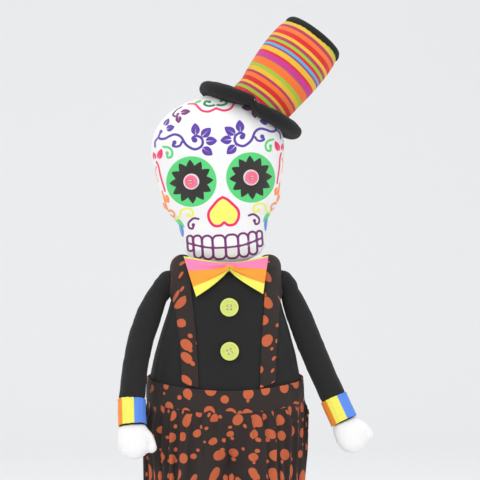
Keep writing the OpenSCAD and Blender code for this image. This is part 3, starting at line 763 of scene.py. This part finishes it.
stroke("plum", [(40, 190), (46, 187), (50.7, 181), (47, 178), (45, 181)], 1.3, dot=2)
stroke("crimson", [(32, 193), (24, 191.5), (20, 186), (16, 182), (9, 180.5), (2, 183), (0, 184)], 1.5)
stroke("deep_green", [(2, 188), (8, 187.5), (13, 190), (11, 194), (7, 193)], 1.6, dot=2.2)
leaf("green", (16, 196), (25, 192.5), 2.6, rib=False)
leaf("crimson", (71.5, 129.5), (66.8, 141.5), 4)
leaf("crimson", (75.8, 130), (77, 139), 3.5)
leaf("crimson", (66, 128), (58.5, 131), 0.1, rib=False)
stroke("crimson", [(74, 127), (72, 121), (70.5, 110), (67.8, 98), (66.5, 92)], 1.4)
stroke("green", [(64.8, 143.5), (58, 141.5), (54.8, 136.5), (56, 131), (60.5, 130.5), (60.8, 135.5)],
       1.4, dot=2.3)
stroke("orange", [(75, 121), (77.5, 112), (76, 104)], 1.3)
leaf("orange", (67.5, 87), (62.5, 77.5), 4)
leaf("orange", (70.5, 79), (66, 70), 3.8)
stroke("orange", [(70, 92), (65, 70), (61, 68.5), (57.5, 65), (58, 61), (61, 62.5)], 1.3, dot=2.1)
stroke("pale", [(57, 58), (51.4, 60), (49.5, 66.5), (44.5, 69), (38, 68), (35.3, 63.5), (37.5, 59.5),
                (41.5, 61)], 1.4, dot=2.4)
leaf("green", (58.5, 60), (46.5, 47), 4.2)
leaf("sky", (52.5, 51.5), (48.8, 36), 4)
stroke("plum", [(29.5, 56), (35.5, 57), (41.5, 52), (41, 46.5), (37, 45.5), (36, 49.5)], 1.3, dot=2.1)
# The back of the head is printed with the same kind of scroll
REAR_PETALS = [((26, 147), (26, 162)), ((19, 144), (8, 153)), ((15, 139), (1.8, 138)), ((19, 131), (8, 123)),
               ((33, 131), (42, 122))]
for base, tip in REAR_PETALS:
    leaf("violet", base, tip, 5.2, rear=True)
stroke("violet", [(28, 141), (26, 146), (20, 144), (18.5, 138), (22, 132), (29, 131), (38, 138), (45, 147),
                  (54, 149), (61, 145)], 1.5, dot=2.4, rear=True)
stroke("crimson", [(0, 92), (9, 96), (18, 92), (22, 84), (17, 78), (12, 82)], 1.5, dot=2.4, rear=True)
stroke("green", [(30, 108), (42, 112), (52, 106), (55, 96), (49, 90), (44, 95)], 1.5, dot=2.4, rear=True)
REAR_LEAVES = [((8, 104), (16, 112), "crimson"), ((30, 92), (38, 84), "orange"),
               ((24, 68), (34, 60), "green"), ((10, 66), (4, 52), "sky"), ((60, 120), (68, 128), "orange")]
for base, tip, dye in REAR_LEAVES:
    leaf(dye, base, tip, 4.4, rear=True)

for name, values in ink_map.items():
    mark(head, "print_" + name, values)
soft(head, "printed_plush", "head", ["head_cover", "head_filling"], 0.95)

# ---- Neck ----
neck = puffed("neck_skin", ["neck_cover", "neck_filling"], 1.6, 6)
soft(neck, "white_plush", "neck", ["neck_cover", "neck_filling"], 0.9)

# ---- Hat ----
n_round, n_tube = 300, 56
phi = TAU * np.arange(n_round)[:, None] / n_round
tube = TAU * np.arange(n_tube)[None] / n_tube
# The brim is pinched together near its front, where a tack holds it
PINCH_AT = math.radians(272)
off = (phi - PINCH_AT + math.pi) % TAU - math.pi
pinch = np.exp(-((off / 0.16) ** 2))
thick = 8.6 * (1 - 0.25 * pinch) * (1 + 0.07 * np.sin(2.1 * phi + 1) + 0.04 * np.sin(5 * phi))
wide = 16.2 * (1 + 0.05 * np.sin(3 * phi + 2))
lift = 1.5 * np.exp(-((off / 0.25) ** 2)) - 3.2 * np.tanh(off / 0.05) * np.exp(-abs(off) / 0.5)
c, s = np.cos(tube), np.sin(tube)
fold = 0.7 * np.sin(9 * tube + 14 * off) * np.exp(-abs(off) / 0.3)
radial = 51 + wide * np.sign(c) * abs(c) ** 0.85 + fold
height = (thick + fold) * np.sign(s) * abs(s) ** 0.8 + lift
points = np.stack([radial * np.cos(phi), radial * np.sin(phi), height + 0 * phi], -1)
push = ripples(points, 9.0, 7.0) * 0.7 + ripples(points, 3.5, 2.0) * 0.25
points[..., 2] += push * np.sign(points[..., 2] + 0.01)
points = points.transpose(1, 0, 2)[::-1]
points = np.vstack([points, points[:1]])
brim = grid("hat_brim_skin", out(BRIM, points), caps=False)
weld = brim.modifiers.new("weld", "WELD")
weld.merge_threshold = 0.00001
settled(brim)
soft(brim, "black_felt", "head", ["hat_brim", "hat_brim_filling"], 0.7)
brim_tree = tree_of(coords(brim), brim.data.polygons)
spot = brim_tree.ray_cast(Vector(out(BRIM, (7, -150, 3))), Vector((0, 1, 0)))[0]
spot = back(BRIM, spot) if spot is not None else np.array((7, -66, 3))
knot = around([spot + (0, 0.2, z) for z in (-1.0, 0, 1.0)], np.repeat([[0.3], [0.6], [0.3]], 12, 1))
tack = grid("hat_tack", out(BRIM, knot))
dress(tack, "thread", "head")

n_up, n_round = 170, 260
share = np.linspace(0, 1, n_up)[:, None]
CROWN_SUNK, CROWN_TALL = 14, 115
along = -CROWN_SUNK + (CROWN_TALL + CROWN_SUNK) * share
a = TAU * np.arange(n_round)[None] / n_round
crown_levels = [-14, 4, 20, 40, 62, 82, 98, 108, 113, 115]
r = smoothed(np.interp(along, crown_levels, [36, 36.4, 36.6, 38.2, 40.4, 41.4, 41, 39.8, 38, 36.6]), 30)
gathers = 0.55 * np.sin(23 * a) * np.exp(-(along + 2) / 14)
r = r + 0.8 * np.sin(2 * a + along / 40) + 0.5 * np.sin(5 * a + along / 22) + gathers
r = r - 1.6 * np.exp(-(((along - 22) / 9) ** 2)) * np.exp(-(((a - math.pi) / 0.7) ** 2))
points = around(upright(along), r)
points[..., 2] += 1.2 * np.sin(a + 0.6) * share
round_share = np.linspace(0, 1, n_round + 1)[None]
facing = np.cos(TAU * round_share - 1.5 * math.pi)
uv = flat_map(round_share, np.clip((along - 2 + 3.6 * (1 - facing)) / 113, 0, 0.999))
crown = grid("hat_crown_skin", out(CROWN, points), uv)
soft(crown, "striped_cloth", "head", ["hat_crown", "hat_filling"], 0.85)

turn_up = np.linspace(0, 1, 40)[:, None]
angle = turn_up * math.pi * 0.5 * 1.25 - 0.4
rim = 31.5 + 7.2 * np.cos(angle)
rim = np.where(angle > 0.9, rim * np.cos((angle - 0.9) * 1.45 / (angle.max() - 0.9) * 1.02), rim)
rise = 114 + 6.4 * np.sin(np.minimum(angle, 1.57)) + 2.5 * turn_up**2
r = rim + 0.7 * np.sin(2 * a + 2) + 0.35 * np.sin(31 * a) * np.exp(-turn_up * 6)
points = around(upright(rise), np.maximum(r, 0.3))
points[..., 2] += 1.2 * np.sin(a + 0.6) + ripples(points, 8.0) * 0.5 * (1 - turn_up)
lid = grid("hat_top_skin", out(CROWN, points))
soft(lid, "black_felt", "head", ["hat_top"], 0.6)

# ---- Body ----
torso = puffed("torso_skin", ["torso_cover", "torso_filling"], 2.0, 10)
p = back(BODY, coords(torso))
creases = ripples(p, 26.0) * 0.8 + ripples(p * (1, 1, 0.45), 10.0, 2.0) * 0.3
swell(torso, creases - 0.2)
soft(torso, "black_cloth", "torso", ["torso_cover", "torso_filling"], 0.9)
torso_tree = tree_of(coords(torso), torso.data.polygons)

# ---- Waistband, a tube of double cloth tipped to the front ----
n = 300
a = TAU * np.arange(n + 1) / n
band_tree = BVHTree.FromPolygons(*joined([nodes["waistband"]]))
BAND_LOW = SHOULDER - 166
BAND_TIP = 0.197


def tipped_ring(height):
    """Points around the waist at a height on the tipped band."""
    ring = []
    for angle in a[:-1]:
        z = BAND_LOW + height + 62 * math.sin(angle) * BAND_TIP
        hit = None
        for nudge in (0, 0.6, -0.6, 1.5, -1.5, 3, -3):
            hit = struck(band_tree, BODY, (160 * math.cos(angle), 160 * math.sin(angle), z + nudge),
                         (-math.cos(angle), -math.sin(angle), 0), 160)
            if hit is not None:
                break
        ring.append((math.hypot(hit[0], hit[1]) if hit is not None else 85, z))
    ring = np.array(ring)
    ring[:, 0] = soften(ring[None, :, 0], 20, 0)[0]
    return np.stack([ring[:, 0] * np.cos(a[:-1]), ring[:, 0] * np.sin(a[:-1]), ring[:, 1]], -1)


heights = [3.0, 6.5, 10, 13, 16, 19.5, 23]
outside = [tipped_ring(h) for h in heights]
wave = 0.35 * np.sin(17 * a[:-1]) + 0.25 * np.sin(31 * a[:-1] + 1)
# The band's section: a ring to start from, how far above it, and how far out of it
profile = []
for h, extra in ((0, -1.7), (-0.6, -0.6), (0.2, 0.2), (1.4, 0.5)):
    profile.append((outside[0], h - heights[0], extra))
for i, ring in enumerate(outside):
    profile.append((ring, 0, 0.75 * math.sin(math.pi * i / 6) ** 0.5 if 0 < i < 6 else 0.5))
for h, extra in ((24.6, 0.45), (25.8, 0.1), (26.2, -0.8), (25.6, -1.8), (20, -2.0)):
    profile.append((outside[-1], h - heights[-1], extra))
points = []
for ring, up, extra in profile:
    q = ring.copy()
    q[:, :2] *= 1 + ((extra + wave) / np.hypot(q[:, 0], q[:, 1]))[:, None]
    q[:, 2] += up
    points.append(q)
points = np.array(points)
length = np.linalg.norm(np.diff(points[5], axis=0, append=points[5][:1]), axis=1)
u = np.concatenate([[0], np.cumsum(length)])[None] / 1000
uv = flat_map(u, (points[:, 0, 2] - points[0, 0, 2])[:, None] / 1000 + 0.031)
band = grid("waistband_skin", out(BODY, points), uv, caps=False)
sewn(band, "torso", "waistband")

# ---- Braces, flat double straps over the shoulders ----
# A strap is laid on the shirt by rays at a centre in the body, from low in front, over the top, to low behind
STRAP_WIDE, STRAP_RISE, RAYS_AT = 18.8, 5.5, 442
LOW_FRONT, LOW_BACK = -51, 231
for side, name in SIDES:
    steps, over = 190, 15
    path = []
    for angle in np.linspace(LOW_FRONT, LOW_BACK, steps):
        rad = math.radians(angle)
        z_end = np.interp(angle, [LOW_FRONT, 80, 100, LOW_BACK], [372, SHOULDER, SHOULDER, 388])
        middle_x = side * (45 + 9 * np.clip((z_end - 370) / 150, 0, 1))
        way = Vector((0, math.cos(rad), -math.sin(rad)))
        row = []
        for x in middle_x + STRAP_WIDE * np.linspace(-0.5, 0.5, over):
            start = Vector(out(BODY, (x, 0, RAYS_AT))) - 0.16 * way
            hit = torso_tree.ray_cast(start, way)[0]
            row.append(back(BODY, hit) if hit is not None else (x, 0, SHOULDER))
        path.append(row)
    path = smoothed(np.array(path), 8)
    normal = np.cross(np.gradient(path, axis=0), np.gradient(path, axis=1))
    normal /= np.linalg.norm(normal, axis=2)[..., None]
    normal *= np.sign((normal * (path - (0, 0, RAYS_AT))).sum(2))[..., None]
    smoothed(normal, 6)
    smoothed(normal.swapaxes(0, 1), 6)
    t = np.linspace(-1, 1, over)[None, :, None]
    arch = 0.25 * (1 - t**4)
    run = np.cumsum(np.linalg.norm(np.gradient(path[:, over // 2], axis=0), axis=1)) / 1000
    # Over the shoulder the strap stands up from the shirt in a low arch
    angle = np.linspace(LOW_FRONT, LOW_BACK, steps)[:, None, None]
    path = path + normal * STRAP_RISE * np.exp(-(((angle - 88) / 24) ** 2)) * (1 - 0.35 * t**2)
    lower = path + normal * 0.5
    upper = path + normal * (1.9 + arch + 0.25 * np.sin(run * 190)[:, None, None])
    loop = np.concatenate([upper, lower[:, ::-1]], 1)
    rounds = np.concatenate([np.linspace(-1, 1, over), np.linspace(1, -1, over), [-1]])
    uv = flat_map(0.5 * STRAP_WIDE / 1000 * rounds[None] + side * 0.2, run[:, None])
    if side > 0:
        loop, uv = loop[:, ::-1], uv[:, ::-1]
    strap = grid("brace_%s_skin" % name, out(BODY, loop), uv)
    bevel = strap.modifiers.new("edge", "BEVEL")
    bevel.width, bevel.segments, bevel.limit_method = 0.0005, 2, "ANGLE"
    settled(strap)
    sewn(strap, "torso", "brace_" + name)

# ---- Trousers ----
# Points round the hips, and steps from front to back between the legs
N, INNER = 264, 44
BAND_DROP, HEM_UP = 66, 92
LEG_OUT = 52
# Metres of flat cloth: for each radian round the hips, and across a leg's outer half and its inner side
HIP_CLOTH, OUTER_CLOTH, INNER_CLOTH = 0.107 * 1.12, 0.376, 0.14


def oval(angle, wide, deep, power=2.2):
    """A rounded oblong's points."""
    c, s = np.cos(angle), np.sin(angle)
    return wide * np.sign(c) * abs(c) ** (2 / power), deep * np.sign(s) * abs(s) ** (2 / power)


# Each vertex has its place, whether the drape may move it, and its leg's side
verts, free, half = [], [], []
spin = TAU * np.arange(N) / N
pleat = np.sin(30 * spin + 1.8 * np.sin(5 * spin) + 1.1 * np.sin(11 * spin + 1))
pleat *= 1 + 0.4 * np.sin(7 * spin + 2)
ring_ids = []
drops = [-4, 0, 3, 6, 9.5, 13, 17, 21.5, 26, 31, 36, 42, 48, 54, 60, BAND_DROP]
for k, drop in enumerate(drops):
    share = np.clip(drop / BAND_DROP, 0, 1)
    wide = np.interp(drop, [-4, 0, 8, 24, 45, 66], [92.4, 93.4, 98, 102.5, 106, 105.5])
    deep = np.interp(drop, [-4, 0, 8, 24, 45, 66], [62, 63, 66, 69, 72, 70])
    x, y = oval(spin, wide, deep)
    ruck = pleat * np.interp(drop, [-4, 0, 3, 10, 30, 66], [0.5, 1.0, 2.8, 3.6, 2.2, 0.8])
    away = np.hypot(x, y)
    x, y = x * (1 + ruck / away), y * (1 + ruck / away)
    z = BAND_LOW - drop + BAND_TIP * y * (1 - share)
    ids = len(verts) + np.arange(N)
    verts += list(zip(x, y, z))
    free += [0 if k < 2 else 1] * N
    half += [0] * N
    ring_ids.append(ids)
faces, uvs = [], []


def add_quads(upper, lower, upper_uv, lower_uv):
    """Quads between two closed rings; the last uv closes the ring."""
    n = len(upper)
    for j in range(n):
        k = (j + 1) % n
        faces.append((int(lower[j]), int(lower[k]), int(upper[k]), int(upper[j])))
        uvs.extend([lower_uv[j], lower_uv[j + 1], upper_uv[j + 1], upper_uv[j]])


def hip_uv(drop):
    """A ring's uv from the back seam round to the back seam again."""
    return [(u, drop / 1000 * 1.1) for u in np.linspace(-math.pi, math.pi, N + 1) * HIP_CLOTH]


ring_ids = [np.roll(ids, -N // 4) for ids in ring_ids]
for k, (upper, lower) in enumerate(zip(ring_ids[:-1], ring_ids[1:])):
    add_quads(upper, lower, hip_uv(drops[k]), hip_uv(drops[k + 1]))
last = ring_ids[-1]
front_at = N // 2
(_, front_y, seat_z), (_, back_y, _) = verts[last[front_at]], verts[last[0]]
inner_share = np.linspace(0, 1, INNER + 1)[1:-1]
crotch = len(verts) + np.arange(INNER - 1)
for t in inner_share:
    verts.append((0, front_y + (back_y - front_y) * t, seat_z - 14 * math.sin(math.pi * t) ** 0.6))
free += [1] * (INNER - 1)
half += [0] * (INNER - 1)
# The hem is gathered at its elastic and flares below it
hem = [HEM_UP + up for up in (5, 2, 0, -2, -5, -8, -11.5)]
top_v = BAND_DROP / 1000 * 1.1
for side in (1, -1):
    # A leg's ring runs from the back centre round the outside to the front centre, then back along the inside
    outer = list(last[front_at:]) + [last[0]] if side > 0 else list(last[: front_at + 1])
    ring = outer[::-side] + list(crotch)
    swing = np.concatenate([np.linspace(115, -115, len(outer)), -115 - 130 * inner_share])
    u_line = np.append(OUTER_CLOTH + inner_share * INNER_CLOTH, OUTER_CLOTH + INNER_CLOTH)
    u_line = side * (OUTER_CLOTH - np.append(np.linspace(0, OUTER_CLOTH, len(outer)), u_line))
    previous, previous_uv = np.array(ring), [(u, top_v) for u in u_line]
    for z in list(np.linspace(268, HEM_UP + 10, 38)) + hem:
        share = np.clip((z - HEM_UP) / 208, 0, 1)
        wide = np.interp(share, [0, 0.06, 0.12, 0.25, 0.5, 0.78, 1], [23.6, 28, 32.5, 38.5, 45.5, 50.8, 53])
        deep = np.interp(share, [0, 0.06, 0.12, 0.25, 0.5, 0.78, 1], [23.6, 28, 33.5, 41.8, 51.8, 62, 68])
        if z < HEM_UP:
            wide = deep = 23.6 + (HEM_UP - z) * 0.36
        rad = np.radians(swing)
        x, y = oval(rad, wide, deep, 2.1)
        high = np.interp(z - HEM_UP, [-12, -2, 0, 3, 12, 60, 176], [2.2, 0.8, 0.3, 0.9, 2.6, 1.2, 0.4])
        ruck = np.sin(20 * rad + 1.3 * np.sin(3 * rad) + side) * high
        away = np.hypot(x, y)
        x, y = x * (1 + ruck / away), y * (1 + ruck / away)
        x = side * (x + LEG_OUT + 1.5 * share)
        ids = len(verts) + np.arange(len(ring))
        verts += list(zip(x, y, np.full(len(ring), z)))
        free += [0 if z <= HEM_UP + 0.1 else 1] * len(ring)
        half += [side] * len(ring)
        line_uv = [(u, top_v + (282 - z) / 1000 * 1.1) for u in u_line]
        add_quads(previous, ids, previous_uv, line_uv)
        previous, previous_uv = ids, line_uv
pants = make_mesh("trousers_skin", out(BODY, verts), faces, uvs)
free, half = np.array(free), np.array(half)

bm = bmesh.new()
bm.from_mesh(pants.data)
bmesh.ops.recalc_face_normals(bm, faces=bm.faces)
# Faces look out, away from the body's upright axis
middle = Vector((MID / 1000, 0, 0))
if sum(f.normal.xy.dot((f.calc_center_median() - middle).xy) for f in bm.faces) < 0:
    bmesh.ops.reverse_faces(bm, faces=bm.faces)
bm.to_mesh(pants.data)
bm.free()


def relaxed(obj, rounds, loose):
    """Free vertices are averaged with their neighbours."""
    co = coords(obj)
    edges = np.array(obj.data.edge_keys)
    count = np.bincount(edges.ravel(), minlength=len(co))[:, None]
    for _ in range(rounds):
        total = np.zeros_like(co)
        np.add.at(total, edges[:, 0], co[edges[:, 1]])
        np.add.at(total, edges[:, 1], co[edges[:, 0]])
        co = co + 0.5 * loose[:, None] * (total / count - co)
    set_coords(obj, co)


hold = pants.vertex_groups.new(name="sewn")
hold.add([int(i) for i in np.flatnonzero(free == 0)], 1.0, "REPLACE")
sim = pants.modifiers.new("drape", "CLOTH")
cloth = sim.settings
cloth.quality = 6
cloth.mass = 0.2
cloth.tension_stiffness = cloth.compression_stiffness = 12
cloth.shear_stiffness = 6
cloth.bending_stiffness = 0.08
cloth.air_damping = 3
cloth.vertex_group_mass = "sewn"
cloth.shrink_min = -0.24
sim.collision_settings.use_collision = False
for f in range(1, 34):
    bpy.context.scene.frame_set(f)
settled(pants)
bpy.context.scene.frame_set(1)
co = back(BODY, coords(pants))
high = co[:, 2] > 289
wide = np.interp(co[:, 2], [288, 302, 324, 356], [51, 77.7, 89.7, 92.5]) + 2.2
deep = np.interp(co[:, 2], [288, 302, 324, 356], [30.5, 47.6, 57.3, 61]) + 2.2
below = np.interp(co[:, 2], [92, 125, 300, 345, 353], [0, 1, 1, 0.8, 0])
folds = ripples(co * (1, 1, 0.22), 15.0, 1.5) * 2.6 + ripples(co * (1, 1, 0.35), 8.0, 6.0) * 0.9
middle_x = np.where(co[:, 2] < 283, half * 53.0, 0.0)
away = np.maximum(np.hypot(co[:, 0] - middle_x, co[:, 1]), 1)
co[:, 0] += folds * below * (co[:, 0] - middle_x) / away
co[:, 1] += folds * below * co[:, 1] / away
tight = (abs(co[:, 0] / wide) ** 2.2 + abs(co[:, 1] / deep) ** 2.2) ** (1 / 2.2)
sunk = high & (tight < 1)
co[sunk, :2] /= tight[sunk, None]
for side in (1, -1):
    pick = (half == side) & (co[:, 2] < 283)
    inner_gap = 0.9 + 3 * np.clip((272 - co[pick, 2]) / 14, 0, 1)
    co[pick, 0] = side * np.maximum(side * co[pick, 0], inner_gap)
set_coords(pants, out(BODY, co))
relaxed(pants, 1, free * 0.6)
fine = pants.modifiers.new("fine", "SUBSURF")
fine.levels = fine.render_levels = 1
depth = pants.modifiers.new("cloth", "SOLIDIFY")
depth.thickness, depth.offset = 0.0009, -1
settled(pants)
sewn(pants, "torso", "trousers")

# ---- Arms, cuffs and hands ----
for side, name in SIDES:
    stub = blob((side * 67, 0, SHOULDER - 25), (15, 13, 13))
    ball = blob((side * 76, -3, SHOULDER - 35), (12, 12.5, 16))
    sleeve = puffed("sleeve_%s_skin" % name, ["sleeve_" + name, "arm_filling_" + name], 1.7, 12, [stub, ball])
    p = back(BODY, coords(sleeve))
    # The creases run round the arm more than along it
    creases = ripples(p * (1, 1, 1.6), 15.0, side) * 0.55 + ripples(p * (1, 1, 2.4), 7.0, 4.0) * 0.3
    swell(sleeve, creases)
    dress(sleeve, "black_cloth")
    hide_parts("sleeve_" + name, "arm_filling_" + name, "shoulder_seam_" + name)
    out(BODY, (side * 60, 0, SHOULDER - 24))
    out(BODY, (side * 76, 0, SHOULDER - 31))
    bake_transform(sleeve)

    cuff = puffed("cuff_%s_skin" % name, ["cuff_" + name], 0.9, 4)
    p = coords(cuff)
    middle = p.mean(0)
    _, _, ways = np.linalg.svd(normals(cuff), full_matrices=False)
    down = ways[2] * -np.sign(ways[2][2])
    across = np.array((1.0, 0, 0)) - down[0] * down
    across /= np.linalg.norm(across)
    w = (p - middle) @ across
    w = (w - w.min()) / (w.max() - w.min())
    s = (p - middle) @ down
    s = (s - s.min()) / (s.max() - s.min())
    layer = cuff.data.uv_layers.new(name="weave")
    corner = np.empty(len(cuff.data.loops), int)
    cuff.data.loops.foreach_get("vertex_index", corner)
    layer.data.foreach_set("uv", np.stack([w[corner], s[corner]], -1).ravel())
    # A rolled edge at each end, and a row of stitches beside the upper one
    ridge = np.exp(-(((s - 0.04) / 0.03) ** 2)) + np.exp(-(((s - 0.96) / 0.03) ** 2))
    ridge -= 1.2 * np.exp(-(((s - 0.11) / 0.02) ** 2))
    swell(cuff, 0.35 * ridge + 0.3 * ripples(p * 1000, 8.0, side))
    sewn(cuff, "arm_" + name, "cuff_" + name, "cuff_cloth")

    p = back(BODY, coords(nodes["hand_cover_" + name]))
    tip = p[p[:, 0].argmax()]
    thumb = blob(tip - (5.5, 0, 1), (6.5, 6, 6.5))
    parts = ["hand_cover_" + name, "hand_filling_" + name]
    hand = puffed("hand_%s_skin" % name, parts, 1.1, 40, [thumb])
    swell(hand, 0.3 * ripples(coords(hand) * 1000, 6.0, side))
    soft(hand, "white_plush", "arm_" + name, parts, 0.9)

# ---- Bow tie ----
def shirt_front(x, z):
    """How far forward the shirt lies."""
    hit = torso_tree.ray_cast(Vector(out(BODY, (x, -200, min(z, SHOULDER - 22)))), Vector((0, 1, 0)))[0]
    return back(BODY, hit)[1] if hit is not None else -40


# Each wing's upper and lower corner; the wings meet in a knot between two heights
WINGS = [(-1, (-52.5, 527), (-38.5, 479.5)), (1, (47.5, 527.5), (40.5, 482.5))]
KNOT_TOP, KNOT_LOW = SHOULDER - 2, SHOULDER - 10.5
for side, high, low in WINGS:
    ns, nt = 70, 60
    rows_out = []
    for i in range(ns):
        s = i / (ns - 1)
        hx, lx = high[0] * s, low[0] * s**0.96
        hz = KNOT_TOP + (high[1] - KNOT_TOP) * s**1.1 - 1.5 * math.sin(math.pi * s) * (1 - s)
        lz = KNOT_LOW + (low[1] - KNOT_LOW) * s**0.74
        ring = []
        for j in range(2 * nt):
            t = (1 - math.cos(math.pi * (j % nt + 0.5) / nt)) / 2
            if j >= nt:
                t = 1 - t
            x, z = lx + (hx - lx) * t, lz + (hz - lz) * t
            base = shirt_front(x * 0.9, z) - 1.2 - 3.2 * min(1, s * 1.6)
            bulk = (2.2 + 6.5 * math.sin(math.pi * t) ** 0.55) * (1 - 0.45 * s)
            bulk += 3.2 * math.exp(-((s / 0.14) ** 2)) * math.sin(math.pi * t)
            folds = 2.1 * math.cos(TAU * (2.2 * t + 0.15)) + math.cos(TAU * (4.1 * t + 0.3 * side))
            folds *= (1 - s) ** 1.2 * min(1, s * 6)
            y = base - bulk - folds if j < nt else base + 0.3
            ring.append((x, y, z))
        rows_out.append(ring)
    points = np.array(rows_out)
    t = (1 - np.cos(math.pi * (np.arange(nt) + 0.5) / nt)) / 2
    uv = flat_map(np.linspace(0, 1, ns)[:, None], np.concatenate([t, 1 - t, t[:1]])[None])
    if side < 0:
        points, uv = points[:, ::-1], uv[:, ::-1]
    wing = grid("bow_tie_%s_skin" % ("right" if side < 0 else "left"), out(BODY, points), uv)
    soft(wing, "tie_cloth", "torso", ["bow_tie"], 0.3)

# ---- Boots and legs ----
for side, name in SIDES:
    parts = ["boot_upper_" + name, "boot_filling_" + name, "boot_weight_" + name]
    boot = puffed("boot_%s_skin" % name, parts, 1.8, 10)
    p = back(BODY, coords(boot)) - (side * LEG_OUT, 0, 0)
    welt = np.exp(-(((p[:, 2] - 8) / 1.4) ** 2))
    cap = np.exp(-(((p[:, 1] + 38) / 1.2) ** 2)) * (p[:, 2] > 8)
    toe = np.clip((p[:, 2] - 4) / 8, 0, 1)
    swell(boot, 0.5 * ripples(p, 11.0, side) * toe - 0.7 * welt - 0.7 * cap)
    soft(boot, "black_felt", "torso", parts, 0.8)
    parts = ["leg_cover_" + name, "leg_filling_" + name]
    leg = puffed("leg_%s_skin" % name, parts, 2.0, 6)
    swell(leg, 0.4 * ripples(back(BODY, coords(leg)), 14.0, side))
    soft(leg, "white_plush", "torso", parts, 0.8)

# ---- The parts that keep their shape ----
slots = {part["node"]: part["material_slot"] for part in frame["record"]["subparts"]}
for name, o in nodes.items():
    if o.hide_render:
        continue
    dress(o, slots[name])
    edge = o.modifiers.new("edge", "BEVEL")
    edge.width, edge.segments, edge.limit_method, edge.angle_limit = 0.0003, 2, "ANGLE", 0.6

# ---- Room, light and camera ----
# A floor that curves up into the wall behind
sweep = [(2.6 + 1.2 * math.sin(q), 1.2 - 1.2 * math.cos(q)) for q in np.linspace(0, math.pi / 2, 20)]
section = [(-4, 0)] + sweep + [(3.8, 5)]
wall = [(x, y, z) for x in (-6, 6) for y, z in section]
ends = len(section)
floor = make_mesh("floor", wall, [(i, i + 1, ends + i + 1, ends + i) for i in range(ends - 1)])
paper = Look("studio paper", srgb(240, 241, 243), 0.9)
floor.data.materials.append(paper.mat)
floor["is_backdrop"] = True
world = bpy.data.worlds.new("studio")
bpy.context.scene.world = world
world.use_nodes = True
world.node_tree.nodes["Background"].inputs[0].default_value = (1.0, 0.995, 0.985, 1)
world.node_tree.nodes["Background"].inputs[1].default_value = 0.82


def softbox(name, place, size, power, at=(0, 0, 0.45)):
    """A wide light that looks at the doll and isn't seen itself."""
    light = bpy.data.lights.new(name, "AREA")
    light.shape, light.size, light.size_y, light.energy = "RECTANGLE", size[0], size[1], power
    obj = bpy.data.objects.new(name, light)
    bpy.context.collection.objects.link(obj)
    obj.location = place
    obj.visible_camera = False
    obj.rotation_euler = (Vector(at) - Vector(place)).to_track_quat("-Z", "Y").to_euler()
    return obj


key = softbox("key", (-1.5, -2.2, 2.0), (1.6, 1.6), 24)
fill = softbox("fill", (1.9, -1.9, 1.3), (1.6, 1.6), 9)
top = softbox("top", (0, 0.2, 2.8), (2.2, 2.2), 20)
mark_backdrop(key, fill, top)
view = bpy.data.cameras.new("camera")
view.lens, view.sensor_width = 137.5, 36
camera = bpy.data.objects.new("camera", view)
bpy.context.collection.objects.link(camera)
aim = Vector(((MID + 17.4) / 1000, 0, 0.546))
camera.location = aim + turn("Z", -5) @ Vector((0, -2.2, 0))
camera.rotation_euler = (aim - camera.location).to_track_quat("-Z", "Y").to_euler()
bpy.context.scene.camera = camera
bpy.context.scene.view_settings.view_transform = "Standard"

end_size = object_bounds()
sizes = {"start": start_size, "end": end_size}
{when: [list(map(float, v)) for v in box] for when, box in sizes.items()}
